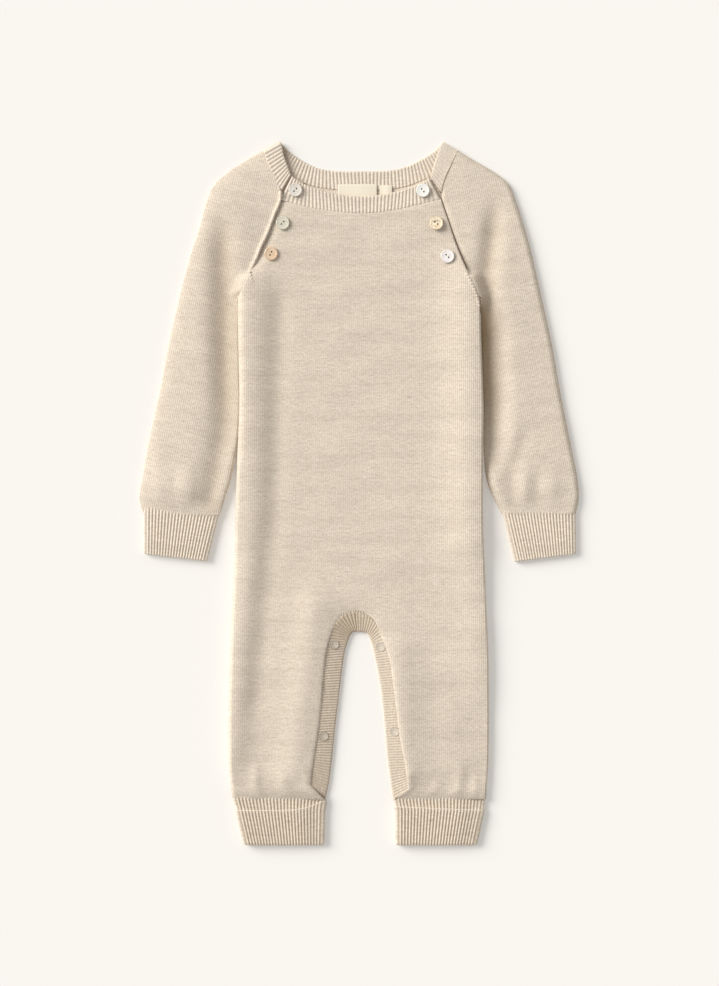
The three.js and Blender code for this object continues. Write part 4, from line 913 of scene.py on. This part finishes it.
def neckband_back():
    """Over the right sleeve head, round the shoulder, along the back neck and back up on the left."""
    runs = []
    for side in ("right", "left"):
        free, sewn, _ = stations(NECKBAND_OVER_SLEEVE[side], NECK_RIB_PITCH, BAND_TOP, BAND_TOP)
        turn = shoulder_turn(NECKBAND_OVER_SLEEVE[side][-1])
        half = [np.vstack(pair) for pair in zip((free, sewn, straight_up(len(free))), turn)]
        runs.append(half if side == "right" else [rows[::-1] for rows in half])
    free, sewn, _ = stations(NECKBAND_BACK, NECK_RIB_PITCH, BAND_BOTTOM, BAND_BOTTOM)
    runs.insert(1, [free, sewn, straight_up(len(free), -1.0)])
    free, sewn, up = (np.vstack(rows) for rows in zip(*runs))
    middle = (free + sewn) / 2
    along = np.append(0, np.cumsum(np.linalg.norm(np.diff(middle, axis=0), axis=1)))
    behind = up[:, 2] < 0
    # Painted shade where the band comes out from under the right shoulder.
    shade = SHOULDER_SHADE * behind * np.exp(-((along - along[behind][0]) / 20.0) ** 2)
    ribbed = 1 - 0.6 * smooth((along - along[behind][-1]) / 4)
    band("neckband_back_rib", free, sewn, up, along, NECK_RIB_PITCH, NECK_RIB, "neckband_back",
         outer=ribbed * smooth(up[:, 2] + 1), inner=smooth(-up[:, 2]), shade=shade)


def leg_bands(side):
    rows = np.array(LEG_BANDS[side])[:, :4]
    rows[-1] += (rows[-1] - rows[-2]) * 0.1
    rows[0] -= (rows[1] - rows[0]) * 0.06
    free, sewn, along = stations(rows, LEG_RIB_PITCH, *LEG_BAND_HEIGHTS[side])
    # Painted shade over the crotch arch and along the whole band.
    arch_shade = 0.22 * (1 - smooth((along - 14) / 22))
    shade = arch_shade + LEG_BAND_SHADE[side]
    band(f"leg_band_front_rib_{side}", free, sewn, straight_up(len(along)), along, LEG_RIB_PITCH, LEG_RIB,
         f"leg_band_front_{side}", outer=LEG_BAND_RIBS[side], groove=LEG_BAND_GROOVE_SHADE[side], shade=shade)
    free, sewn, along = stations(LEG_BANDS[side], LEG_RIB_PITCH, BAND_BOTTOM, BAND_BOTTOM)
    band(f"leg_band_back_rib_{side}", free, sewn, straight_up(len(along)), along, LEG_RIB_PITCH, LEG_RIB,
         f"leg_band_back_{side}", outer=0.6, columns=8)


neckband_front()
neckband_back()
for side in OUTWARD:
    leg_bands(side)


# Cuffs
# Ribbed tubes. A sleeve cuff is a single layer, and a leg cuff is turned up once, so that its edge stands
# out as a light line a little below the seam, which also gets a painted highlight.

SLEEVE_CUFFS = {
    "right": {"outer": [(-187.4, -17.3), (-187.4, -53.4)], "inner": [(-126.5, -19.0), (-136.6, -59.2)]},
    "left": {"outer": [(187.5, -17.2), (188.1, -53.4)], "inner": [(128.7, -16.8), (138.8, -59.8)]},
}
SLEEVE_RIBS = 21
SLEEVE_CUFF_INSIDE = 4.0
LEG_CUFF_START = -268.9
LEG_CUFF_LENGTH = 41.0
# Inside of a leg cuff: distance down from the seam, x of the outer fold and x of the inner one
LEG_CUFFS = {
    "right": np.array([(0, -108.6, -32.3), (10, -105.8, -33.9), (41, -98.5, -34.7)]),
    "left": np.array([(0, 107.9, 32.7), (10, 106.6, 34.9), (41, 99.9, 35.0)]),
}
LEG_CUFF_RIBS = 25
LEG_CUFF_INSIDE = 4.5
# How the turned-up edge rises towards the inner leg: its rise, the share where it starts and its power
LEG_CUFF_EDGE = {"right": (8.0, 0.5, 2.6), "left": (3.2, 0.0, 1.0)}
TURN_UP_AT = 0.24
TURNED_CLOTH = 2.8
CUFF_RIB_RISE = 0.75
# Pitch of the ribs of each cuff: a width in millimetres shared among its ribs
SLEEVE_RIB_PITCH = 60 / SLEEVE_RIBS
LEG_CUFF_RIB_PITCH = 73 / LEG_CUFF_RIBS
SLEEVE_RIB = wool("sleeve_rib_wool", wale=SLEEVE_RIB_PITCH, relief=0.26, streaks=0.8, groove_shade=0.12)
CUFF_RIB = wool("leg_cuff_rib_wool", wale=LEG_CUFF_RIB_PITCH, relief=0.3, streaks=1.2, groove_shade=0.28)


def cuff_ring(ribs):
    """Places round a flattened tube: across, the direction of the outer face and the rib count.

    The upper side is one run across, then half a turn round the fold, a run back below and half a turn.
    """
    top = np.linspace(0, 1, ribs * STEPS_PER_RIB + 1)
    turn = np.linspace(np.pi / 2, -np.pi / 2, STEPS_PER_RIB + 1)[1:]
    bottom = np.linspace(1, 0, ribs * 4 + 1)[1:]
    across = np.concatenate([top, np.ones(len(turn)), bottom, np.zeros(len(turn))])
    angle = np.concatenate([np.full(len(top), np.pi / 2), turn, np.full(len(bottom), -np.pi / 2), -turn])
    fold = np.linspace(0, 2, len(turn) + 1)[1:]
    below = ribs + 2 + (1 - bottom) * ribs
    count = np.concatenate([top * ribs, ribs + fold, below, 2 * ribs + 2 + fold])
    return across, angle, count


def cuff(name, node, ribs, pitch, section, outer, inner, inside, bottom, length, edge_rise, droop,
         material, groove):
    """A cuff: a section (share down, distance out, share of rib, tone) carried round a flattened tube."""
    across, angle, count = cuff_ring(ribs)
    down, out, ribbed, painted_shading, raised = np.array(section).T
    down = down[None] - raised[None] * (edge_rise(across) * (angle > 0))[:, None] / length
    down = np.where(down < 0, down * smooth((1.03 - across) / 0.16)[:, None], down)
    start, end = outer(down), inner(down)
    aside = start - end
    aside /= np.linalg.norm(aside, axis=-1)[..., None]
    low = bottom(down)
    radius = (inside - low) / 2
    crest = 1 - (0.5 + 0.5 * np.cos(2 * np.pi * count)) ** 1.3
    rise = (crest[:, None] - 0.3) * ribbed * CUFF_RIB_RISE * np.where(angle > -0.2, 1, 0)[:, None]
    reach = radius + out + rise
    way = np.where(across > 0.5, -1, 1)[:, None]
    at = across[:, None, None]
    plan = start * (1 - at) + end * at + aside * (way * reach * np.cos(angle)[:, None])[..., None]
    height = low + radius + reach * np.sin(angle)[:, None]
    height = np.maximum(low + (height - low) * (1 - droop(across))[:, None], 0.0)
    points = np.concatenate([plan, height[..., None]], axis=-1)
    run = np.append(0, np.cumsum(np.hypot(np.diff(down[0]) * length, np.diff(out))))
    knit = np.stack(np.broadcast_arrays((count * pitch)[:, None], run[None]), axis=-1)
    # Painted shade between the ribs.
    shade = painted_shading[None] - groove * ribbed * (1 - crest[:, None]) ** 1.5
    made = piece(name, *facing_out(*joined([patch(points, knit, shade)])), material, "rib_wool")
    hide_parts(node)


def stretch(start, end, count):
    """Places of a section between two of them, without the last one."""
    share = np.linspace(0, 1, count, endpoint=False)[:, None]
    return np.array(start, float) * (1 - share) + np.array(end, float) * share


def plain_section():
    """Single layer: the outer face, a rounded free edge and the inner face."""
    cloth = RIB_CLOTH
    marks = [(-0.13, cloth * 0.35, 0.8, 1, 0), (0.02, cloth, 1, 1, 0), (0.96, cloth, 1, 1, 0),
             (1.0, cloth, 0.6, 1, 0), (1.012, cloth * 0.5, 0.2, 1, 0), (1.0, 0.0, 0, 1, 0),
             (0.0, 0.0, 0, 1, 0), (-0.12, cloth * 0.2, 0, 1, 0)]
    counts = [6, 26, 3, 2, 2, 8, 2, 2]
    closed = [*marks, marks[0]]
    rows = [stretch(a, b, n) for a, b, n in zip(closed, closed[1:], counts)]
    return np.vstack([*rows, [marks[0]]])


def turned_up_section():
    """Turned up once: out of the seam, down behind the turned-up layer, up its back, over the edge,
    down its face and round the fold to the inside.
    """
    cloth, both, at = RIB_CLOTH, TURNED_CLOTH, TURN_UP_AT
    # The fourth column paints the yarn: 1.15 is a painted highlight along the turned-up edge.
    marks = [(-0.13, cloth * 0.35, 0.8, 1, 0), (0.02, cloth, 1, 1, 0), (at + 0.1, cloth, 0.8, 1, 0),
             (0.93, cloth, 0, 1, 0), (0.945, cloth * 1.08, 0, 1, 0), (0.93, cloth * 1.16, 0, 1, 0),
             (at + 0.02, cloth * 1.16, 0, 1, 1), (at - 0.002, cloth * 1.35, 0.2, 1.0, 1),
             (at - 0.002, both, 0.1, 1.15, 1), (at + 0.012, both + 0.3, 0.1, 1.15, 1),
             (at + 0.03, both + 0.1, 0.7, 1.0, 1), (at + 0.06, both, 1, 1, 0.8), (0.95, both, 1, 1, 0),
             (0.99, both * 0.8, 0.9, 1, 0), (1.0, both * 0.45, 0.3, 1, 0), (0.99, 0.2, 0, 1, 0),
             (0.96, 0.0, 0, 1, 0), (0.0, 0.0, 0, 1, 0), (-0.12, cloth * 0.2, 0, 1, 0)]
    counts = [6, 8, 5, 2, 2, 5, 2, 2, 2, 2, 2, 26, 3, 3, 2, 2, 8, 2, 2]
    closed = [*marks, marks[0]]
    rows = [stretch(a, b, n) for a, b, n in zip(closed, closed[1:], counts)]
    return np.vstack([*rows, [marks[0]]])


def sleeve_cuff(side):
    ends = {name: np.array(points) for name, points in SLEEVE_CUFFS[side].items()}

    def line(name):
        return lambda t: ends[name][0] * (1 - t[..., None]) + ends[name][1] * t[..., None]

    cuff(f"sleeve_cuff_rib_{side}", f"sleeve_cuff_{side}", SLEEVE_RIBS, SLEEVE_RIB_PITCH, plain_section(),
         line("outer"), line("inner"), SLEEVE_CUFF_INSIDE, lambda t: np.full_like(t, RIB_CLOTH),
         36.0, lambda across: 0 * across, lambda across: 0.12 * (2 * across - 1) ** 4, SLEEVE_RIB,
         0.24)


def leg_cuff(side):
    rows = LEG_CUFFS[side]
    rise, start, power = LEG_CUFF_EDGE[side]

    def line(column):
        def at(t):
            down = t * LEG_CUFF_LENGTH
            return np.stack([np.interp(down, rows[:, 0], rows[:, column]), LEG_CUFF_START - down], axis=-1)
        return at

    cuff(f"leg_cuff_rib_{side}", f"leg_cuff_{side}", LEG_CUFF_RIBS, LEG_CUFF_RIB_PITCH,
         turned_up_section(), line(1), line(2), LEG_CUFF_INSIDE,
         lambda t: RIB_CLOTH + (TURNED_CLOTH - RIB_CLOTH) * np.clip(t / TURN_UP_AT, 0, 1),
         LEG_CUFF_LENGTH, lambda across: rise * np.clip((across - start) / (1 - start), 0, 1) ** power,
         lambda across: 0.42 * smooth(((across if side == "right" else 1 - across) - 0.66) / 0.34) ** 1.5,
         CUFF_RIB, 0.42)


for side in OUTWARD:
    sleeve_cuff(side)
    leg_cuff(side)


# Button stands
# Ribbed strips under the plackets, which carry the buttons. Only a sliver of them shows in the slits, so
# they keep their plain form and get the wool of the bands.


def plain_wool_band(name):
    """Wool for a strip whose knit follows the object's own X and Y."""
    look = Finish(name)
    place = look.node("ShaderNodeTexCoord", {}, output=3)
    parts = look.node("ShaderNodeSeparateXYZ", {}, place)
    x, y = parts * 1000.0, Wire(look, parts.socket.node.outputs[1]) * 1000.0
    grain = look.noise(x * 0.6, y * 0.9, detail=3.0, roughness=0.7)
    ridge = ((y * (2 * np.pi / NECK_RIB_PITCH)).math("SINE") * 0.5) + 0.5
    colour = look.mix(grain, WOOL, WOOL_STREAK)
    # Painted shade between the ribs.
    colour = look.mix((1 - ridge) * 0.4, colour, WOOL_PAINTED_SHADE)
    look.feed(look.shader.inputs["Base Color"], colour)
    look.feed(look.shader.inputs["Normal"], look.node("ShaderNodeBump", {}, Strength=0.6, Distance=0.001,
                                                      Height=ridge * 0.4))
    look.shader.inputs["Roughness"].default_value = 0.95
    look.shader.inputs["Specular IOR Level"].default_value = 0.2
    return look.material


stand_wool = plain_wool_band("button_stand_wool")
for side in OUTWARD:
    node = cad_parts[f"button_stand_{side}"]
    node.data.materials.clear()
    node.data.materials.append(stand_wool)


# Buttons
# Two-hole buttons cut from shell, 12 mm across, with a raised rim and a dished face. No two have the same
# colour.

BUTTON_RADIUS = 6.0
BUTTON_HOLE_RADIUS = 0.68
BUTTON_HOLE_REACH = 1.6
BAND_BUTTON_LEVEL = BAND_TOP + RIB_CLOTH / 2 + 0.75
# Place x, y, turn of the holes, tilt about X and Y in radians, main colour, second colour and how dark a
# painted shadow across the upper part of the face is
BUTTONS = {
    "button_right_1": (-56.4, 266.4, 0.8, 0.0, -0.03, (0.86, 0.80, 0.71), (0.70, 0.64, 0.55), 0.0),
    "button_right_2": (-67.5, 237.4, 0.8, 0.02, -0.05, (0.85, 0.79, 0.65), (0.62, 0.60, 0.45), 0.0),
    "button_right_3": (-77.8, 210.5, 1.1, 0.0, -0.06, (0.87, 0.68, 0.48), (0.80, 0.46, 0.26), 0.0),
    "button_left_1": (55.7, 266.0, -0.9, 0.0, 0.02, (0.97, 0.95, 0.88), (0.90, 0.87, 0.80), 0.0),
    "button_left_2": (67.6, 237.2, -0.7, -0.16, 0.10, (0.90, 0.80, 0.60), (0.66, 0.44, 0.22), 0.5),
    "button_left_3": (77.3, 208.1, -0.8, 0.0, 0.05, (0.96, 0.91, 0.84), (0.82, 0.75, 0.78), 0.0),
}


def nacre(name, main, second):
    """Mother-of-pearl: wavy growth layers of two colours under a clear polish."""
    look = Finish(name)
    place = look.node("ShaderNodeTexCoord", {}, output=3)
    large = look.node("ShaderNodeTexNoise", {}, Vector=place, Scale=210.0, Detail=2.0, Distortion=1.2)
    layers = (large * 34.0).math("SINE") * 0.5 + 0.5
    cloud = look.node("ShaderNodeTexNoise", {}, Vector=place, Scale=420.0, Detail=3.0, Roughness=0.6)
    share = look.band(cloud * 0.7 + layers * 0.3, 0.42, 0.74)
    colour = look.mix(share, (*main, 1), (*second, 1))
    # Painted shade: where the shading attribute falls below 1 the shell is painted towards near-black.
    painted_shading = look.node("ShaderNodeAttribute", {"attribute_name": "painted_shading"}, output=2)
    colour = look.mix(1 - painted_shading, colour, (0.035, 0.025, 0.02, 1))
    look.feed(look.shader.inputs["Base Color"], colour)
    look.feed(look.shader.inputs["Roughness"], layers * 0.08 + 0.22)
    look.shader.inputs["Coat Weight"].default_value = 0.5
    look.shader.inputs["Coat Roughness"].default_value = 0.1
    look.shader.inputs["Specular IOR Level"].default_value = 0.6
    return look.material


def button(name, x, y, turn, tilt_x, tilt_y, main, second, groove):
    """A round button: a profile of rim and dish over radius, with two wells where the holes are."""
    angle = np.linspace(0, 2 * np.pi, 97)[:, None]
    rim = [5.75, 5.87, 5.95, BUTTON_RADIUS]
    radius = np.concatenate([np.linspace(0, 3.0, 22), np.linspace(3.2, 5.6, 12), rim])[None]
    profile_at = [0, 3.2, 4.2, 4.9, 5.4, 5.75, 5.95, BUTTON_RADIUS]
    profile = np.interp(radius, profile_at, [1.6, 1.65, 1.75, 1.92, 1.98, 1.85, 1.5, 1.2])
    px, py = radius * np.cos(angle), radius * np.sin(angle)
    height = profile + 0 * angle
    wells = 0 * height
    for way in (-1, 1):
        hx, hy = way * BUTTON_HOLE_REACH * np.cos(turn), way * BUTTON_HOLE_REACH * np.sin(turn)
        wells += smooth((BUTTON_HOLE_RADIUS + 0.12 - np.hypot(px - hx, py - hy)) / 0.3)
    height = height - 1.1 * wells
    under = np.interp(radius, [0, 4.8, 5.6, 5.9, BUTTON_RADIUS], [0, 0, 0.25, 0.8, 1.2]) + 0 * angle
    on_panel = float(front_top(np.array(x), np.array(y))) + 0.35
    level = BAND_BUTTON_LEVEL if name.endswith("1") else on_panel
    slope_x, slope_y = np.sin(tilt_x), np.sin(tilt_y)
    parts = []
    # Painted shade: the holes near-black, the rim darker, a painted shadow arc across the upper face and
    # the underside darker.
    shadow_arc = np.exp(-((np.hypot(px, py + 3.0) - 5.2) / 0.5) ** 2)
    shadow_arc = shadow_arc * smooth((4.0 - np.abs(px)) / 1.5) * (py > 0)
    face_painted_shading = 1 - wells - 0.3 * smooth((radius - 5.5) / 0.4) - groove * shadow_arc * (1 - wells)
    for z, painted_shading, flip in ((height, face_painted_shading, False), (under, 0.7, True)):
        tilted = z + px * slope_y + py * slope_x + abs(slope_y) * 2 + abs(slope_x) * 2
        points = np.stack([px + x, py + y, tilted + level], axis=-1)
        parts.append(patch(points, np.stack([px + 0 * z, py + 0 * z], axis=-1), painted_shading, flip=not flip))
    points, painted_shading, faces, uv = joined(parts)
    made = piece(f"shell_{name}", points, painted_shading, faces, uv, nacre(f"nacre_{name}", main, second), "shell")
    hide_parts(name)


for name, values in BUTTONS.items():
    button(name, *values)


# Sewing that shows
# Where the pieces are linked by hand: a rope of loops below each placket, loops over the crotch, brown
# thread along the left end of the neckband, and dark thread that fixes the ends of the leg bands.

LOOP_SUNK = 0.45  # share of a loop's thickness that lies in the cloth


def stitches(name, path, count, length, width, lean, level, material, slot="wool", painted_shading=1.0):
    """A row of loops: each is an ellipsoid whose long axis leans from the path by an angle."""
    share = (np.arange(count) + 0.5) / count
    line = Line(path)
    ahead = line.along(np.minimum(share + 0.01, 1)) - line.along(np.maximum(share - 0.01, 0))
    turn = np.arctan2(ahead[:, 1], ahead[:, 0]) + np.resize(lean, count)
    centre = line.along(share)
    around, over = np.meshgrid(np.linspace(0, 2 * np.pi, 13), np.linspace(-np.pi / 2, np.pi / 2, 9))
    a = length / 2 * np.cos(over) * np.cos(around)
    b = width / 2 * np.cos(over) * np.sin(around)
    parts = []
    for (x, y), angle in zip(centre, turn):
        px, py = x + a * np.cos(angle) - b * np.sin(angle), y + a * np.sin(angle) + b * np.cos(angle)
        top = float(level(np.array(x), np.array(y)))
        pz = top + width * (0.5 - LOOP_SUNK) + width / 2 * np.sin(over)
        parts.append(patch(np.stack([px, py, pz], axis=-1), np.stack([a + x, b + y], axis=-1), painted_shading,
                           flip=True))
    piece(name, *joined(parts), material, slot)


def thread(name, colour):
    """Twisted sewing thread: fine slanting turns."""
    look = Finish(name)
    x, y = look.knit()
    turns = (((x + y) * (2 * np.pi / 0.35)).math("SINE") * 0.5) + 0.5
    # Painted shade between the turns of the twist.
    look.feed(look.shader.inputs["Base Color"], look.mix(turns * 0.5, (*colour, 1), WOOL_PAINTED_SHADE))
    look.feed(look.shader.inputs["Normal"], look.node("ShaderNodeBump", {}, Strength=0.5, Distance=0.0004,
                                                      Height=turns))
    look.shader.inputs["Roughness"].default_value = 0.8
    return look.material


DARK_THREAD = thread("dark_thread", (0.20, 0.145, 0.10))
LIGHT_THREAD = thread("light_thread", (0.86, 0.77, 0.64))


def seam_level(rise):
    """Heights a little above the groove of a raglan seam."""
    return lambda x, y: front_top(x, y) - SEAM_GROOVE + rise


def band_level(x, y):
    """Height of the cloth at the lower end of a leg band."""
    return 0 * x + HEM_LEVEL + 0.2


# The raglan loops are painted lighter: a painted highlight.
stitches("raglan_loops_left", [(93.6, 193.0), (98.0, 184.0), (102.6, 173.5), (105.0, 163.0)],
         11, 3.2, 1.8, 0.8, seam_level(0.2), PLAIN_KNIT, painted_shading=1.1)
stitches("raglan_loops_right", [(-96.6, 195.6), (-95.0, 189.0), (-93.8, 184.0)],
         4, 2.6, 1.5, -0.8, seam_level(0.05), PLAIN_KNIT, painted_shading=1.15)
stitches("neckband_thread_left", [(85.0, 298.4), (80.6, 288.8), (75.5, 277.9), (71.8, 265.8)],
         22, 1.9, 0.6, 0.25, lambda x, y: 0 * x + SLEEVE_TOP + 0.1,
         thread("brown_thread", (0.50, 0.41, 0.31)))
stitches("crotch_loops", [(-15.6, -107.2), (-9.0, -104.6), (-2.0, -103.8), (4.0, -105.0)],
         9, 1.9, 1.0, 0.7, seam_level(0.2), LIGHT_THREAD)
stitches("band_end_thread_right", [(-42.0, -258.4), (-36.4, -263.6), (-30.6, -268.4)],
         12, 1.7, 0.5, [1.0, -1.0], band_level, DARK_THREAD, "rib_wool")
stitches("band_end_thread_left", [(42.2, -261.4), (37.0, -265.2), (31.2, -269.2)],
         11, 1.7, 0.5, [1.0, -1.0], band_level, DARK_THREAD, "rib_wool")
stitches("band_seam_thread_right", [(-32.6, -166.0), (-32.8, -174.0)],
         4, 1.6, 0.5, [0.9, -0.5], lambda x, y: front_top(x, y) - SEAM_DIP, DARK_THREAD)


# Snap caps
# Clear plastic caps of press studs on the inner-leg bands: a ring round a dished middle, with painted
# shade along its rings and rim.

SNAP_RADIUS = 4.2
SNAP_RING_SHADE = {"right": 1.35, "left": 0.4}  # how dark the painted shade along the rings of a cap is
# Place of each cap: shares along a leg band and across it, from its free edge
SNAPS = {
    "right": [(0.345, 0.68), (0.735, 0.65)],
    "left": [(0.41, 0.60), (0.785, 0.66)],
}


def clear_plastic():
    look = Finish("clear_plastic")
    place = look.node("ShaderNodeTexCoord", {}, output=3)
    haze = look.node("ShaderNodeTexNoise", {}, Vector=place, Scale=900.0, Detail=2.0)
    painted_shading = look.node("ShaderNodeAttribute", {"attribute_name": "painted_shading"}, output=2)
    colour = look.mix(haze, (0.88, 0.79, 0.67, 1), (0.95, 0.89, 0.80, 1))
    # Painted shade along the rings; the same places are drawn more opaque.
    look.feed(look.shader.inputs["Base Color"], look.mix(1 - painted_shading, colour, WOOL_PAINTED_SHADE))
    look.feed(look.shader.inputs["Roughness"], haze * 0.15 + 0.2)
    look.feed(look.shader.inputs["Alpha"], 1.1 - (painted_shading * 0.8))
    look.shader.inputs["IOR"].default_value = 1.45
    return look.material


CLEAR_PLASTIC = clear_plastic()


def snap_cap(side, number, along, across):
    """A cap turned from its profile, laid on the slope of the band."""
    rows = np.array(LEG_BANDS[side])
    index = along * (len(rows) - 1)
    free, sewn = Line(rows[:, :2]).at(index), Line(rows[:, 2:4]).at(index)
    low, high = LEG_BAND_HEIGHTS[side]
    centre = free * (1 - across) + sewn * across
    level = low + (high - low) * across + RIB_CLOTH / 2 + RIB_RISE * 0.65 - 0.05
    width = np.linalg.norm(sewn - free)
    slope = (high - low) / width * (sewn - free) / width
    angle = np.linspace(0, 2 * np.pi, 49)[:, None]
    # Profile of radius, height and painted shade: darker along the groove of the ring and at the rim.
    marks = [(0, 0.35, 1), (1.0, 0.35, 1), (1.7, 0.55, 1), (2.2, 0.72, 1), (2.7, 0.55, 1),
             (3.0, 0.42, 0.7), (3.4, 0.68, 1), (3.8, 0.85, 1), (4.1, 0.6, 0.6), (SNAP_RADIUS, 0.3, 0.5),
             (4.15, 0.0, 0.5), (0, 0.0, 1)]
    radius, height, painted_shading = (np.array(column)[None] for column in zip(*marks))
    painted_shading = 1 - (1 - painted_shading) * SNAP_RING_SHADE[side]
    x, y = radius * np.cos(angle), radius * np.sin(angle)
    z = height + level + x * slope[0] + y * slope[1]
    points = np.stack([x + centre[0], y + centre[1], z], axis=-1)
    surface = joined([patch(points, np.stack([x, y], axis=-1), painted_shading, flip=True)])
    made = piece(f"snap_{side}_{number}", *surface, CLEAR_PLASTIC, "clear_plastic")
    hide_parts(f"snap_cap_{side}_{number}")


for side, places in SNAPS.items():
    for number, place in enumerate(places, 1):
        snap_cap(side, number, *place)


# Labels
# A woven ribbon label and a small one for the size, stitched under the back neckband. Both are bare.

LABEL_LEVEL = 2.5
LABELS = {"neck_label": (-1.8, 271.9, 34.4, 19.0), "size_label": (23.3, 271.0, 10.6, 15.0)}


def ribbon_cloth():
    """Satin ribbon: fine ribs across and a slight mottle."""
    look = Finish("woven_label")
    x, y = look.knit()
    mottle = look.noise(x * 0.5, y * 2.5, detail=3.0, roughness=0.6)
    threads = (y * (2 * np.pi / 0.5)).math("SINE")
    colour = look.mix(mottle, (0.93, 0.86, 0.70, 1), (0.86, 0.77, 0.60, 1))
    look.feed(look.shader.inputs["Base Color"], colour)
    look.feed(look.shader.inputs["Normal"], look.node("ShaderNodeBump", {}, Strength=0.3, Distance=0.0005,
                                                      Height=threads * 0.1))
    look.shader.inputs["Roughness"].default_value = 0.6
    look.shader.inputs["Sheen Weight"].default_value = 0.2
    return look.material


RIBBON = ribbon_cloth()


def label(name, x, top, width, height):
    """A flat ribbon with a slow wave across its width."""
    u, v = np.meshgrid(np.linspace(-width / 2, width / 2, 30), np.linspace(0, height, 16))
    z = LABEL_LEVEL + 0.25 * np.sin(u / width * 5.0 + 0.6) + 0.1 * np.sin(v / 4.0)
    points = np.stack([x + u, top - v, z], axis=-1)
    surface = joined([patch(points, np.stack([u, v], axis=-1))])
    made = piece(f"{name}_ribbon", *wall(*surface, 0.35), RIBBON, "label_cloth")
    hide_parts(name)


for name, values in LABELS.items():
    label(name, *values)


# Floor, light and camera
# A plain warm white floor that is faintly lit from below, as on a light table, one soft light from the
# upper left and even light from all round. The camera looks straight down, as in the photograph.

PIXEL = 0.88  # millimetres of the romper's plane for each pixel of the frame
FRAME_HEIGHT = 986
LENS = 85.0
SENSOR = 36.0
CLOTH_LEVEL = 0.005
FLOOR_COLOUR = (0.95, 0.925, 0.88)
FLOOR_GLOW = 0.22  # share of the floor's light that comes from below
FLOOR_REACH = 4.0
SUN_STRENGTH = 3.5
SUN_SPREAD = 0.62  # radians: how soft its shadows are
SUN_FROM = (-0.80, 0.42, 0.505)
SKY_STRENGTH = 0.46

floor_mesh = bpy.data.meshes.new("floor")
corners = [(x * FLOOR_REACH, y * FLOOR_REACH, 0) for x, y in ((-1, -1), (1, -1), (1, 1), (-1, 1))]
floor_mesh.from_pydata(corners, [], [(0, 1, 2, 3)])
floor = bpy.data.objects.new("floor", floor_mesh)
floor.location.z = -0.0002
bpy.context.scene.collection.objects.link(floor)
floor_look = Finish("floor_paper")
floor_look.shader.inputs["Base Color"].default_value = (*(c * (1 - FLOOR_GLOW) for c in FLOOR_COLOUR), 1)
floor_look.shader.inputs["Emission Color"].default_value = (*FLOOR_COLOUR, 1)
floor_look.shader.inputs["Emission Strength"].default_value = FLOOR_GLOW
floor_look.shader.inputs["Roughness"].default_value = 0.9
floor_look.shader.inputs["Specular IOR Level"].default_value = 0.1
floor_mesh.materials.append(floor_look.material)

sun = bpy.data.objects.new("window", bpy.data.lights.new("window", "SUN"))
sun.data.energy = SUN_STRENGTH
sun.data.angle = SUN_SPREAD
sun.data.color = (1.0, 0.99, 0.97)
sun.rotation_mode = "QUATERNION"
sun.rotation_quaternion = Vector(SUN_FROM).to_track_quat("Z", "Y")
bpy.context.scene.collection.objects.link(sun)

world = bpy.data.worlds.new("studio")
bpy.context.scene.world = world
world.use_nodes = True
world.node_tree.nodes["Background"].inputs["Color"].default_value = (1.0, 1.0, 1.0, 1)
world.node_tree.nodes["Background"].inputs["Strength"].default_value = SKY_STRENGTH
bpy.context.scene.view_settings.view_transform = "Standard"

camera = bpy.data.objects.new("camera", bpy.data.cameras.new("camera"))
camera.data.lens = LENS
camera.data.sensor_width = SENSOR
camera.location = (0, 0, CLOTH_LEVEL + FRAME_HEIGHT * PIXEL * 0.001 * LENS / SENSOR)
bpy.context.scene.collection.objects.link(camera)
bpy.context.scene.camera = camera
